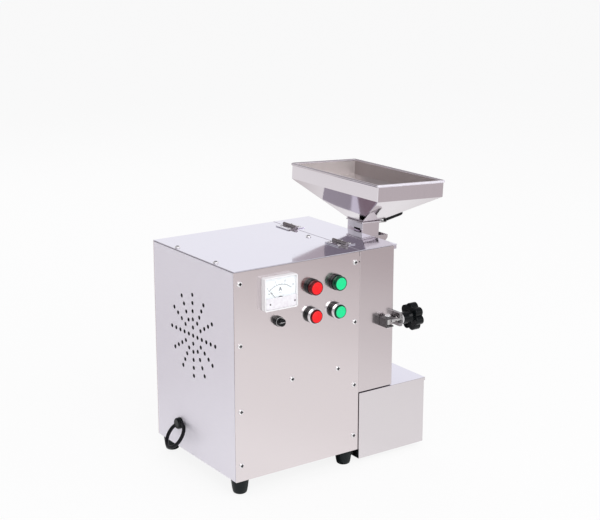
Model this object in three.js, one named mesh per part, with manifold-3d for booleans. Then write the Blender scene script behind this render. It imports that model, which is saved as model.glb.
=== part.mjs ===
import * as THREE from "three";
import { mergeVertices } from "three/addons/utils/BufferGeometryUtils.js";
import Module from "manifold-3d";

// Bench nut grinder, in millimetres. X runs along the control panel towards the
// grinding head, Y from the panel to the back, Z up. All places are measured from
// the casing's lower front left corner. At the end the whole machine is moved so
// that its origin lies under the middle of its box, on the surface it stands on; the
// cord loop doesn't count in that box.

const wasm = await Module();
wasm.setup();

// Casing
const bodyLength = 251;
const headLength = 73.5;
const bodyDepth = 265;
const bodyHeight = 360;
const sheet = 1.5;
const plate = 3;
const fit = 0.3;
const overrun = 5;
const seamGap = 1;
const frontSeam = 0.4;
const cornerGap = 0.9;
const seamNotchDepth = 1;
const seamNotchHeight = 7.5;
const seamHoleRadius = 1.3;
const seamHoleDrop = 18;
const foldDepth = 9;
const cornerFlange = 20;
const flangeTopGap = 4;
const lidOverhang = 7;
const headFloorHeight = 105.4;
const partitionInset = 2;
const trayThickness = 2;
const trayLip = 18;
const headFlange = 14;
const endPlateTopGap = 1;

// Feet
const footHeight = 27;
const footTopRadius = 14.5;
const footBottomRadius = 11.2;
const footCollar = 5;
const footInset = 18;
const footScrewRadius = 4;
const footScrewRecess = 6;

// Vent pattern of the left panel
const ventPitch = 14.35;
const ventHoleRadius = 3.25;
const ventRings = 5;
const ventRays = 12;
const ventSides = 10;

// Shaft line and motor
const shaftHeight = 220;
const shaftRadius = 14;
const shaftTailReach = 4;
const noseRadius = 12;
const noseLength = 38;
const coreRadius = 40;
const coreLength = 100;
const motorRadius = 70;
const shellThickness = 8;
const statorGap = 1;
const statorInset = 8;
const motorLength = 130;
const bellLength = 20;
const flangeRadius = 92;
const flangeThickness = 10;
const rearBellLength = 14;
const finHeight = 7;
const finWidth = 3;
const finCount = 9;
const finArcShare = 1.1;
const fanHubRadius = 19;
const fanRadius = 58;
const fanLength = 16;
const fanBladeWidth = 3;
const fanBladeCount = 7;
const fanGap = 5;
const cowlEndGap = 6;
const cowlHoleRadius = 5;
const cowlHoleCircle = 44;
const cowlHoleCount = 12;
const cradleWidth = 120;
const cradleBase = 6;
const cradleWall = 6;
const cradleInset = 12;

// Grinding chamber in the head
const chamberRadius = 82;
const chamberWall = 6;
const chamberBack = 6;
const outletWidth = 61;
const outletLength = 48;
const outletInset = 12;
const sieveThickness = 1.5;
const sieveSlots = 20;
const sieveSlotWidth = 8;
const sieveSlotLength = 44;
const rotorGap = 3;
const rotorRadius = 72;
const rotorDisc = 6;
const rotorHubRadius = 22;
const rotorBladeReach = 24;
const rotorBladeLength = 40;
const rotorBladeWidth = 6;
const rotorBlades = 8;
const rotorCap = 6;
const wearRingWidth = 14;
const wearRingLength = 9;
const wearNotches = 12;
const wearNotchWidth = 5;
const wearNotchDepth = 5;

// Chamber door, its hinge and the inclined feed chute on it
const doorRadius = 100;
const doorThickness = 6;
const feedHoleWidth = 38;
const feedHoleHeight = 30;
const feedHoleDrop = 34;
const lugReach = 19;
const lugRise = 13;
const lugDrop = 11;
const lugRoot = 60;
const forkDepth = 17;
const forkSlot = 9;
const hingeEarHeight = 30;
const hingeKnuckleRadius = 7;
const hingeKnuckleHeight = 14;
const hingePinRadius = 3.5;
const hingeStandOff = 3;
const hingeInset = 10;
const hingeLeafLength = 38;
const chuteReach = 66;
const chuteTopGap = 4;
const chuteLip = 6;
const chuteShelf = 38;
const chuteShelfReach = 30;
const chuteHeelReach = 8;
const chuteFootGap = 1.5;

// Hopper, leaning a little outwards on the chute, and its feed gate
const hopperLeanDegrees = 2.9;
const neckOffset = 28;
const neckHalfLength = 19.8;
const neckHalfDepth = 22.1;
const neckTop = 375;
const neckBottom = 332;
const skirtHalfLength = 73.2;
const skirtHalfDepth = 128.4;
const skirtBottom = 433;
const rimTop = 463;
const hemWidth = 2.8;
const hemHeight = 3;
const neckSlotHeight = 3.5;
const neckSlotDrop = 12;
const neckSlotWidth = 19;
const gateThickness = 1.5;
const gateDrop = 3;
const gateSideGap = 0.5;
const gateReach = 37.6;
const ledgeWidth = 3;
const ledgeThickness = 1.5;
const handleRadius = 2.1;
const handleReach = 38;
const handleRise = 10;
const handleOverlap = 4;
const handleInset = 2;
const handleCorner = 7;

// Lid hinges on the seam
const lidHingeLength = 40;
const lidHingePlaces = [57, 208.7];
const lidHingeLeafWidth = 18;
const lidHingeLeafThickness = 1.4;
const lidHingeBarrelRadius = 3;
const lidHingePinRadius = 1.5;
const lidHingeKnuckle = 13;

// Swing bolt clamp
const clampHeight = 228;
const clampStandOff = 10;
const clampPinOffset = 19.5;
const clampWebThickness = 2.5;
const clampWebDepth = 20;
const clampArmThickness = 2.5;
const clampArmReach = 16;
const eyeRadius = 6.5;
const eyeHeight = 11;
const pinRadius = 3;
const pinHeadRadius = 5;
const pinHeadHeight = 3;
const boltRadius = 4;
const boltReach = 58;
const boltEndGap = 1;
const washerGap = 1.7;
const washerRadius = 10;
const washerThickness = 1.8;
const knobHubRadius = 10.5;
const knobHubLength = 17.5;
const knobRadius = 24.5;
const knobLobeDepth = 2.6;
const knobLobes = 7;
const knobThickness = 15;
const knobBevel = 2;

// Control panel
const meterX = 83.3;
const meterZ = 315.5;
const meterWidth = 64;
const meterHeight = 56;
const meterProud = 12;
const meterBorder = 2.5;
const meterRecess = 5.4;
const meterDrumRadius = 25;
const meterDrumLength = 26;
const dialThickness = 1;
const lensThickness = 1.5;
const lensInset = 0.5;
const needlePivotDrop = 18;
const needleLength = 34;
const needleWidth = 1.2;
const needleThickness = 0.6;
const needleHubRadius = 2.6;
const needleDegrees = 42;
const lampZ = 313;
const buttonZ = 264;
const stopX = 151.3;
const startX = 200.5;
const shankRadius = 11;
const shankLength = 24;
const collarRadius = 13.5;
const lampCollar = 6.5;
const lampLensRadius = 12.4;
const lampLensLength = 9.2;
const lampLensEdge = 1.6;
const bezelLength = 13;
const capRadius = 11.4;
const capProud = 3;
const capSeat = 3;
const buttonTravel = 3.5;
const fuseX = 84;
const fuseZ = 265;
const fuseShankRadius = 6;
const fuseShankLength = 26;
const fuseCollarRadius = 8.5;
const fuseCollarLength = 5;
const fuseCapRadius = 6.8;
const fuseCapLength = 8.5;
const fuseSlotWidth = 1.6;
const fuseSlotDepth = 2;

// Cord loop and its gland at the foot of the left panel
const glandY = 182;
const glandZ = 47;
const glandRadius = 10;
const glandLength = 9;
const glandEdge = 2;
const loopRadius = 22.8;
const loopCordRadius = 3.2;
const loopLeanShares = [-0.56, -0.46, -0.69];
const loopNormalShares = [0.802, -0.091, -0.59];
const loopOpenDegrees = 12;
const socketOpenDegrees = 10;

// Receiving bin and the rails that carry it
const binGap = 0.8;
const binLength = 145.6;
const binProud = 2.5;
const binTop = 104.5;
const binBottom = -17.6;
const binFlange = 12.5;
const binBackDrop = 4;
const binLipReach = 2.5;
const binLipHeight = 6;
const railReach = 10;

// Round pieces: sides of large, middle and small circles
const largeSides = 36;
const roundSides = 24;
const smallSides = 14;

const weldDistance = 1e-4;

// Places worked out from the sizes above
const axisY = bodyDepth / 2;
const panelTop = bodyHeight - sheet - fit;
const foldBottom = bodyHeight - foldDepth;
const flangeTop = foldBottom - fit - flangeTopGap;
const coverEnd = bodyLength - seamGap / 2;
const lidStart = bodyLength + seamGap / 2;
const bodyEnd = bodyLength - frontSeam / 2;
const headStart = bodyLength + frontSeam / 2;
const headEnd = bodyLength + headLength;
const lidEnd = headEnd + lidOverhang;
const partitionOuter = bodyLength - partitionInset;
const partitionInner = partitionOuter - plate;
const innerFront = sheet + fit;
const innerBack = bodyDepth - sheet - fit;
const doorInner = headEnd + fit;
const doorOuter = doorInner + doorThickness;
const endPlateOuter = headEnd - sheet - fit;
const endPlateInner = endPlateOuter - plate;
const chamberStart = partitionOuter + fit;
const chamberOuterRadius = chamberRadius + chamberWall;
const outletStart = chamberStart + chamberBack + outletInset;
const outletEnd = outletStart + outletLength;

function finish(color, roughness, metalness, opacity = 1) {
  const transparent = opacity < 1;
  return new THREE.MeshStandardMaterial({ color, roughness, metalness, opacity, transparent });
}

const polishedSteel = finish(0xcfc6cb, 0.18, 1);
const mirrorSteel = finish(0xe3e0ea, 0.1, 1);
const plainSteel = finish(0xa8a4a8, 0.35, 1);
const castMetal = finish(0x8b8d90, 0.5, 0.8);
const motorPaint = finish(0x54606b, 0.5, 0.2);
const blackPlastic = finish(0x15191b, 0.35, 0);
const blackRubber = finish(0x171b20, 0.6, 0);
const whitePlastic = finish(0xf1f1f0, 0.3, 0);
const dialPaper = finish(0xfbfbf7, 0.7, 0);
const clearPlastic = finish(0xf4f8fa, 0.05, 0, 0.3);
const chromeTrim = finish(0xd8d8dc, 0.08, 1);
const redPlastic = finish(0xd5141c, 0.3, 0);
const greenPlastic = finish(0x12b46a, 0.3, 0);
const sieveSteel = finish(0x9c9a9c, 0.4, 1);

// Closed geometry to solid: shared corners are merged, flat triangles left out and
// the faces turned to point outwards.
function solidOf(geometry) {
  const bare = geometry.clone();
  bare.deleteAttribute("normal");
  bare.deleteAttribute("uv");
  const merged = mergeVertices(bare, weldDistance);
  const places = merged.attributes.position;
  const corners = merged.index.array;
  const kept = [];
  const first = new THREE.Vector3();
  const second = new THREE.Vector3();
  const third = new THREE.Vector3();
  let volume = 0;
  for (let i = 0; i < corners.length; i += 3) {
    const [a, b, c] = [corners[i], corners[i + 1], corners[i + 2]];
    if (a === b || b === c || c === a) continue;
    kept.push([a, b, c]);
    first.fromBufferAttribute(places, a);
    second.fromBufferAttribute(places, b);
    third.fromBufferAttribute(places, c);
    volume += first.dot(second.cross(third));
  }
  const turned = volume < 0 ? kept.map(([a, b, c]) => [a, c, b]) : kept;
  const vertProperties = new Float32Array(places.array);
  const triVerts = new Uint32Array(turned.flat());
  return new wasm.Manifold(new wasm.Mesh({ numProp: 3, vertProperties, triVerts }));
}

function geometryOf(solid) {
  const mesh = solid.getMesh();
  const geometry = new THREE.BufferGeometry();
  const places = new Float32Array(mesh.vertProperties);
  geometry.setAttribute("position", new THREE.BufferAttribute(places, 3));
  geometry.setIndex(new THREE.BufferAttribute(new Uint32Array(mesh.triVerts), 1));
  geometry.computeVertexNormals();
  return geometry;
}

const part = new THREE.Group();

function addPiece(name, solid, material, parent = part) {
  const mesh = new THREE.Mesh(geometryOf(solid), material);
  mesh.name = name;
  parent.add(mesh);
  return mesh;
}

function joined(solids) {
  return solids.reduce((whole, solid) => whole.add(solid));
}

function cutBy(solid, cutters) {
  return cutters.reduce((rest, cutter) => rest.subtract(cutter), solid);
}

// Span drawn in, or drawn out, by the same length at both ends
function inset([low, high], by) {
  return [low + by, high - by];
}

function outset([low, high], by) {
  return [low - by, high + by];
}

// Box between two places along each axis
function block([x0, x1], [y0, y1], [z0, z1]) {
  const geometry = new THREE.BoxGeometry(x1 - x0, y1 - y0, z1 - z0);
  geometry.translate((x0 + x1) / 2, (y0 + y1) / 2, (z0 + z1) / 2);
  return solidOf(geometry);
}

// Turns a geometry built around Y so that it stands along the named axis at a place
function placed(geometry, axis, place) {
  if (axis === "x") geometry.rotateZ(-Math.PI / 2);
  if (axis === "z") geometry.rotateX(Math.PI / 2);
  if (axis === "front") geometry.rotateX(Math.PI);
  geometry.translate(...place);
  return geometry;
}

// Round bar from start to end along X, Y or Z. The place gives the other two coordinates.
function bar(axis, radius, start, end, [a, b], sides = roundSides) {
  const geometry = new THREE.CylinderGeometry(radius, radius, end - start, sides);
  const middle = (start + end) / 2;
  const places = { x: [middle, a, b], y: [a, middle, b], z: [a, b, middle] };
  return solidOf(placed(geometry, axis, places[axis]));
}

// Turned piece: a closed profile of [radius, distance along the axis] pairs
function turnedPiece(axis, profile, place, sides = roundSides) {
  const points = profile.map(([radius, along]) => new THREE.Vector2(radius, along));
  points.push(points[0].clone());
  const geometry = new THREE.LatheGeometry(points, sides);
  if (axis === "z") {
    geometry.rotateX(Math.PI / 2);
    geometry.translate(...place);
    return solidOf(geometry);
  }
  return solidOf(placed(geometry, axis, place));
}

// Flat outline of [x, z] points drawn out along Y
function profileAlongY(outline, start, end) {
  const shape = new THREE.Shape(outline.map(([x, z]) => new THREE.Vector2(x, z)));
  const geometry = new THREE.ExtrudeGeometry(shape, { depth: end - start, bevelEnabled: false });
  geometry.rotateX(Math.PI / 2);
  geometry.translate(0, end, 0);
  return solidOf(geometry);
}

// Square tapering form through a list of [half length, half depth, height] rings
function squareLoft(rings) {
  const places = [];
  const faces = [];
  for (const [hx, hy, z] of rings) {
    places.push(-hx, -hy, z, hx, -hy, z, hx, hy, z, -hx, hy, z);
  }
  for (let ring = 0; ring + 1 < rings.length; ring += 1) {
    for (let side = 0; side < 4; side += 1) {
      const a = ring * 4 + side;
      const b = ring * 4 + ((side + 1) % 4);
      faces.push(a, b, b + 4, a, b + 4, a + 4);
    }
  }
  const top = (rings.length - 1) * 4;
  faces.push(0, 2, 1, 0, 3, 2, top, top + 1, top + 2, top, top + 2, top + 3);
  const geometry = new THREE.BufferGeometry();
  geometry.setAttribute("position", new THREE.BufferAttribute(new Float32Array(places), 3));
  geometry.setIndex(faces);
  return solidOf(geometry);
}

// Tube of round section along a curve
function tubeAlong(curve, radius, sides, steps) {
  const section = new THREE.Shape();
  section.absarc(0, 0, radius, 0, 2 * Math.PI);
  const options = { extrudePath: curve, steps, curveSegments: sides / 2, bevelEnabled: false };
  return solidOf(new THREE.ExtrudeGeometry(section, options));
}

function around(count, make) {
  return Array.from({ length: count }, (unused, index) => make((2 * Math.PI * index) / count, index));
}

// Turns a solid built for the shaft line's +Z side by an angle round the shaft line
function aboutShaft(solid, angle) {
  const toAxis = solid.translate([0, -axisY, -shaftHeight]);
  const degrees = THREE.MathUtils.radToDeg(angle);
  return toAxis.rotate([degrees, 0, 0]).translate([0, axisY, shaftHeight]);
}

// Casing sheets
function baseTray() {
  const floor = block([innerFront, partitionOuter], [innerFront, innerBack], [0, trayThickness]);
  const lipEnds = [cornerFlange + overrun, partitionInner - cornerFlange - overrun];
  const lipHeight = [0, trayLip];
  const front = block(lipEnds, [innerFront, innerFront + sheet], lipHeight);
  const back = block(lipEnds, [innerBack - sheet, innerBack], lipHeight);
  const lips = [front, back];
  return joined([floor, ...lips]);
}

function ventPanel() {
  const across = [sheet + cornerGap, bodyDepth - sheet - cornerGap];
  const face = block([0, sheet], across, [0, bodyHeight - sheet - cornerGap]);
  const flangeSpan = [trayThickness + fit, flangeTop];
  const front = block([sheet / 2, cornerFlange], [innerFront, innerFront + sheet], flangeSpan);
  const back = block([sheet / 2, cornerFlange], [innerBack - sheet, innerBack], flangeSpan);
  const holes = [];
  const drill = (y, z) => holes.push(bar("x", ventHoleRadius, -overrun, sheet + overrun, [y, z], ventSides));
  drill(axisY, shaftHeight);
  around(ventRays, (angle, ray) => {
    const straight = ray % (ventRays / 4) === 0;
    for (let ring = straight ? 1 : 2; ring <= ventRings; ring += 1) {
      const reach = ring * ventPitch;
      drill(axisY + reach * Math.sin(angle), shaftHeight + reach * Math.cos(angle));
    }
  });
  return cutBy(joined([face, front, back]), holes);
}

function frontPanel() {
  const face = block([0, bodyEnd], [0, sheet], [0, panelTop]);
  const through = [-overrun, sheet + overrun];
  const hole = (radius, x, z) => bar("y", radius + fit, ...through, [x, z]);
  const notchEnds = [bodyEnd - seamNotchDepth, bodyEnd + overrun];
  return cutBy(face, [
    block(notchEnds, through, [panelTop - seamNotchHeight, panelTop + overrun]),
    bar("y", seamHoleRadius, ...through, [bodyEnd - seamHoleRadius / 2, panelTop - seamHoleDrop], smallSides),
    hole(meterDrumRadius, meterX, meterZ),
    hole(shankRadius, stopX, lampZ),
    hole(shankRadius, startX, lampZ),
    hole(shankRadius, stopX, buttonZ),
    hole(shankRadius, startX, buttonZ),
    hole(fuseShankRadius, fuseX, fuseZ),
  ]);
}

// Top sheet with its folds behind the front and rear sheets
function topSheet([start, end], [foldStart, foldEnd]) {
  const foldSpan = [foldBottom, bodyHeight];
  return [
    block([start, end], [0, bodyDepth], [bodyHeight - sheet, bodyHeight]),
    block([foldStart, foldEnd], [innerFront, innerFront + sheet], foldSpan),
    block([foldStart, foldEnd], [innerBack - sheet, innerBack], foldSpan),
  ];
}

function topCover() {
  const leftFold = block([innerFront, innerFront + sheet], [innerFront, innerBack], [foldBottom, bodyHeight]);
  return joined([...topSheet([0, coverEnd], [innerFront, partitionInner - fit]), leftFold]);
}

function headLid() {
  const rightFold = block([lidEnd - sheet, lidEnd], [innerFront, innerBack], [foldBottom, bodyHeight]);
  return joined([...topSheet([lidStart, lidEnd], [lidStart, lidEnd]), rightFold]);
}

function partitionPlate() {
  const wallSpan = [trayThickness + fit, panelTop];
  const flangeSpan = [trayThickness + fit, flangeTop];
  const flangeEnds = [partitionInner - cornerFlange, partitionOuter];
  const wall = block([partitionInner, partitionOuter], [innerFront, innerBack], wallSpan);
  const front = block(flangeEnds, [innerFront, innerFront + sheet], flangeSpan);
  const back = block(flangeEnds, [innerBack - sheet, innerBack], flangeSpan);
  const ends = [partitionInner - overrun, partitionOuter + overrun];
  const hole = bar("x", rotorHubRadius, ...ends, [axisY, shaftHeight]);
  return cutBy(joined([wall, front, back]), [hole]);
}

// Head cover: a side sheet folded round the head's outer end
function headCover(outside, inside, flangeEdge) {
  const across = [Math.min(outside, inside), Math.max(outside, inside)];
  const face = block([headStart, headEnd], across, [headFloorHeight, panelTop]);
  const edges = [Math.min(outside, flangeEdge), Math.max(outside, flangeEdge)];
  const flange = block([headEnd - sheet, headEnd], edges, [headFloorHeight, foldBottom - fit]);
  return joined([face, flange]);
}

function headEndPlate() {
  const span = [headFloorHeight, foldBottom - fit - endPlateTopGap];
  const wall = block([endPlateInner, endPlateOuter], [innerFront, innerBack], span);
  const ends = [endPlateInner - overrun, endPlateOuter + overrun];
  const mouth = bar("x", chamberOuterRadius + fit, ...ends, [axisY, shaftHeight], largeSides);
  return cutBy(wall, [mouth]);
}

function outletSpout() {
  const span = [headFloorHeight, shaftHeight - chamberRadius / 2];
  const half = outletWidth / 2;
  const across = [axisY - half, axisY + half];
  const outer = block(outset([outletStart, outletEnd], sheet), outset(across, sheet), span);
  const inner = block([outletStart, outletEnd], across, outset(span, overrun));
  const ends = [outletStart - overrun, outletEnd + overrun];
  const drum = bar("x", chamberOuterRadius + fit, ...ends, [axisY, shaftHeight], largeSides);
  return cutBy(outer, [inner, drum]);
}

function headFloor() {
  const span = [headFloorHeight, headFloorHeight + sheet];
  const floor = block([headStart, endPlateInner - fit], [innerFront, innerBack], span);
  const across = [axisY - outletWidth / 2, axisY + outletWidth / 2];
  const outlet = block([outletStart, outletEnd], across, outset(span, overrun));
  return joined([cutBy(floor, [outlet]), outletSpout()]);
}

addPiece("base_tray", baseTray(), plainSteel);
addPiece("vent_panel", ventPanel(), polishedSteel);
addPiece("front_panel", frontPanel(), polishedSteel);
addPiece("rear_panel", block([0, bodyEnd], [bodyDepth - sheet, bodyDepth], [0, panelTop]), polishedSteel);
addPiece("top_cover", topCover(), mirrorSteel);
addPiece("partition_plate", partitionPlate(), plainSteel);
addPiece("head_front_cover", headCover(0, sheet, headFlange), polishedSteel);
addPiece("head_rear_cover", headCover(bodyDepth, bodyDepth - sheet, bodyDepth - headFlange), polishedSteel);
addPiece("head_end_plate", headEndPlate(), plainSteel);
addPiece("head_floor", headFloor(), plainSteel);

// Rubber feet under the four corners of the tray
const footPlaces = {
  foot_front_left: [footInset, footInset],
  foot_front_right: [bodyLength - footInset, footInset],
  foot_rear_left: [footInset, bodyDepth - footInset],
  foot_rear_right: [bodyLength - footInset, bodyDepth - footInset],
};
for (const [name, [x, y]] of Object.entries(footPlaces)) {
  const profile = [
    [0, footHeight - footScrewRecess],
    [footScrewRadius, footHeight - footScrewRecess],
    [footScrewRadius, footHeight],
    [footBottomRadius, footHeight],
    [footTopRadius, footCollar],
    [footTopRadius, fit],
    [0, fit],
  ].map(([radius, depth]) => [radius, -depth]);
  const geometry = new THREE.LatheGeometry(
    [...profile, profile[0]].map(([radius, along]) => new THREE.Vector2(radius, along)),
    roundSides,
  );
  geometry.rotateX(Math.PI / 2);
  geometry.translate(x, y, 0);
  addPiece(name, solidOf(geometry), blackRubber);
}

// Motor: shell with stator and rear bell, front bell with flange, fan and cowl
const frontBellEnd = partitionInner - fit;
const frontBellStart = frontBellEnd - flangeThickness - bellLength;
const motorEnd = frontBellStart - fit;
const motorStart = motorEnd - motorLength;
const rearBellStart = motorStart - rearBellLength;
const fanEnd = rearBellStart - fanGap;
const fanStart = fanEnd - fanLength;
const shaftTail = fanStart - shaftTailReach;
const shaftPlace = [0, axisY, shaftHeight];
const coreStart = motorStart + (motorLength - coreLength) / 2;
const coreEnd = coreStart + coreLength;

function motorShell() {
  const bore = motorRadius - shellThickness;
  const statorBore = coreRadius + statorGap;
  const statorEnds = [coreStart - statorInset, coreEnd + statorInset];
  const shell = turnedPiece("x", [
    [motorRadius, motorStart],
    [motorRadius, motorEnd],
    [bore, motorEnd],
    [bore, statorEnds[1]],
    [statorBore, statorEnds[1]],
    [statorBore, statorEnds[0]],
    [bore, statorEnds[0]],
    [bore, motorStart],
  ], shaftPlace, largeSides);
  const top = shaftHeight + motorRadius;
  const across = [axisY - finWidth / 2, axisY + finWidth / 2];
  const fin = block([motorStart + overrun, motorEnd - overrun], across, [top - finWidth, top + finHeight]);
  const step = (Math.PI * finArcShare) / (finCount - 1);
  const fins = Array.from({ length: finCount }, (unused, index) => {
    return aboutShaft(fin, (index - (finCount - 1) / 2) * step);
  });
  const rearBell = turnedPiece("x", [
    [shaftRadius + fit, rearBellStart],
    [motorRadius, rearBellStart],
    [motorRadius, motorStart],
    [shaftRadius + fit, motorStart],
  ], shaftPlace, largeSides);
  return joined([shell, rearBell, ...fins]);
}

addPiece("motor_shell", motorShell(), motorPaint);
addPiece("motor_front_bell", turnedPiece("x", [
  [shaftRadius + fit, frontBellStart],
  [motorRadius, frontBellStart],
  [motorRadius, frontBellEnd - flangeThickness],
  [flangeRadius, frontBellEnd - flangeThickness],
  [flangeRadius, frontBellEnd],
  [shaftRadius + fit, frontBellEnd],
], shaftPlace, largeSides), castMetal);

const rotorStart = chamberStart + chamberBack + rotorGap;
const noseStart = rotorStart - fit;
addPiece("motor_shaft", turnedPiece("x", [
  [0, shaftTail],
  [shaftRadius, shaftTail],
  [shaftRadius, coreStart],
  [coreRadius, coreStart],
  [coreRadius, coreEnd],
  [shaftRadius, coreEnd],
  [shaftRadius, noseStart],
  [noseRadius, noseStart],
  [noseRadius, noseStart + noseLength],
  [0, noseStart + noseLength],
], shaftPlace), plainSteel);

function motorFan() {
  const hub = bar("x", fanHubRadius, fanStart, fanEnd, [axisY, shaftHeight]);
  const bladeSpan = [shaftHeight + shaftRadius + fit + fit, shaftHeight + fanRadius];
  const across = [axisY - fanBladeWidth / 2, axisY + fanBladeWidth / 2];
  const blade = block([fanStart, fanEnd], across, bladeSpan);
  const blades = around(fanBladeCount, (angle) => aboutShaft(blade, angle));
  const bore = bar("x", shaftRadius + fit, fanStart - overrun, fanEnd + overrun, [axisY, shaftHeight]);
  return cutBy(joined([hub, ...blades]), [bore]);
}
addPiece("motor_fan", motorFan(), blackPlastic);

const cowlStart = shaftTail - cowlEndGap;
function motorCowl() {
  const cup = turnedPiece("x", [
    [0, cowlStart],
    [motorRadius + fit + sheet, cowlStart],
    [motorRadius + fit + sheet, motorStart],
    [motorRadius + fit, motorStart],
    [motorRadius + fit, cowlStart + sheet],
    [0, cowlStart + sheet],
  ], shaftPlace, largeSides);
  const ends = [cowlStart - overrun, cowlStart + sheet + overrun];
  const holes = around(cowlHoleCount, (angle) => bar("x", cowlHoleRadius, ...ends, [
    axisY + cowlHoleCircle * Math.cos(angle),
    shaftHeight + cowlHoleCircle * Math.sin(angle),
  ], ventSides));
  return cutBy(cup, holes);
}
addPiece("motor_fan_cowl", motorCowl(), blackPlastic);

function motorCradle() {
  const across = [axisY - cradleWidth / 2, axisY + cradleWidth / 2];
  const floor = trayThickness + fit;
  const start = motorStart + cradleInset;
  const end = motorEnd - cradleInset;
  const base = block([start, end], across, [floor, floor + cradleBase]);
  const rear = block([start, start + cradleWall], across, [floor, shaftHeight - motorRadius / 2]);
  const front = block([end - cradleWall, end], across, [floor, shaftHeight - motorRadius / 2]);
  const ends = [start - overrun, end + overrun];
  const seat = bar("x", motorRadius + fit, ...ends, [axisY, shaftHeight], largeSides);
  return cutBy(joined([base, rear, front]), [seat]);
}
addPiece("motor_cradle", motorCradle(), plainSteel);

// Grinding chamber: drum, sieve ring, outlet chute, rotor and wear ring
function chamberDrum() {
  const drum = turnedPiece("x", [
    [shaftRadius + fit, chamberStart],
    [chamberOuterRadius, chamberStart],
    [chamberOuterRadius, headEnd],
    [chamberRadius, headEnd],
    [chamberRadius, chamberStart + chamberBack],
    [shaftRadius + fit, chamberStart + chamberBack],
  ], shaftPlace, largeSides);
  const across = [axisY - outletWidth / 2, axisY + outletWidth / 2];
  const below = [shaftHeight - chamberOuterRadius - overrun, shaftHeight - chamberRadius / 2];
  return cutBy(drum, [block([outletStart, outletEnd], across, below)]);
}
addPiece("chamber_drum", chamberDrum(), castMetal);

const sieveStart = chamberStart + chamberBack + fit;
const sieveEnd = sieveStart + sieveSlotLength + outletInset;
function sieveRing() {
  const outer = chamberRadius - fit;
  const ring = turnedPiece("x", [
    [outer - sieveThickness, sieveStart],
    [outer, sieveStart],
    [outer, sieveEnd],
    [outer - sieveThickness, sieveEnd],
  ], shaftPlace, largeSides);
  const middle = (sieveStart + sieveEnd) / 2;
  const slotEnds = [middle - sieveSlotLength / 2, middle + sieveSlotLength / 2];
  const across = [axisY - sieveSlotWidth / 2, axisY + sieveSlotWidth / 2];
  const outward = [shaftHeight + outer - sieveThickness - overrun, shaftHeight + outer + overrun];
  const slot = block(slotEnds, across, outward);
  return cutBy(ring, around(sieveSlots, (angle) => aboutShaft(slot, angle)));
}
addPiece("sieve_ring", sieveRing(), sieveSteel);

function grindingRotor() {
  const hubEnd = noseStart + noseLength + rotorCap;
  const discEnd = rotorStart + rotorDisc;
  const bore = noseRadius + fit;
  const hub = turnedPiece("x", [
    [bore, rotorStart],
    [rotorRadius, rotorStart],
    [rotorRadius, discEnd],
    [rotorHubRadius, discEnd],
    [rotorHubRadius, hubEnd - rotorCap],
    [bore, hubEnd],
    [0, hubEnd],
    [0, noseStart + noseLength + fit],
    [bore, noseStart + noseLength + fit],
  ], shaftPlace, largeSides);
  const across = [axisY - rotorBladeWidth / 2, axisY + rotorBladeWidth / 2];
  const outward = [shaftHeight + rotorRadius - rotorBladeReach, shaftHeight + rotorRadius];
  const blade = block([discEnd - sheet, discEnd + rotorBladeLength], across, outward);
  return joined([hub, ...around(rotorBlades, (angle) => aboutShaft(blade, angle))]);
}
addPiece("grinding_rotor", grindingRotor(), plainSteel);

function wearRing() {
  const outer = chamberRadius - fit;
  const start = headEnd - wearRingLength;
  const ring = turnedPiece("x", [
    [outer - wearRingWidth, start],
    [outer, start],
    [outer, headEnd],
    [outer - wearRingWidth, headEnd],
  ], shaftPlace, largeSides);
  const across = [axisY - wearNotchWidth / 2, axisY + wearNotchWidth / 2];
  const inward = shaftHeight + outer - wearRingWidth;
  const notchSpan = [inward - overrun, inward + wearNotchDepth];
  const notch = block([start - overrun, start + wearNotchDepth], across, notchSpan);
  return cutBy(ring, around(wearNotches, (angle) => aboutShaft(notch, angle)));
}
addPiece("wear_ring", wearRing(), castMetal);

// Door of the chamber with its clamp lug in front and its hinge ear behind
const clampY = -clampStandOff;
const hingeX = doorOuter + hingeStandOff;
const hingeY = bodyDepth - hingeInset;
const feedHoleTop = shaftHeight + feedHoleDrop + feedHoleHeight;
const feedHoleBottom = shaftHeight + feedHoleDrop;

function chamberDoor() {
  const thickness = [doorInner, doorOuter];
  const disc = bar("x", doorRadius, ...thickness, [axisY, shaftHeight], largeSides);
  const lug = block(thickness, [-lugReach, lugRoot], [clampHeight - lugDrop, clampHeight + lugRise]);
  const earSpan = [shaftHeight - hingeEarHeight / 2, shaftHeight + hingeEarHeight / 2];
  const ear = block(thickness, [axisY, hingeY], earSpan);
  const knuckle = bar("z", hingeKnuckleRadius, ...earSpan, [hingeX, hingeY], smallSides);
  const shaved = block([doorInner - hingeKnuckleRadius, doorInner], [axisY, bodyDepth], earSpan);
  const slotSpan = [clampHeight - forkSlot / 2, clampHeight + forkSlot / 2];
  const through = [doorInner - overrun, doorOuter + overrun];
  const fork = block(through, [-lugReach - overrun, -lugReach + forkDepth], slotSpan);
  const half = feedHoleWidth / 2;
  const feed = block(through, [axisY - half, axisY + half], [feedHoleBottom, feedHoleTop]);
  const pinHole = bar("z", hingePinRadius + fit, ...outset(earSpan, overrun), [hingeX, hingeY], smallSides);
  return cutBy(joined([disc, lug, ear, knuckle]), [fork, feed, pinHole, shaved]);
}
addPiece("chamber_door", chamberDoor(), castMetal);

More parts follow.
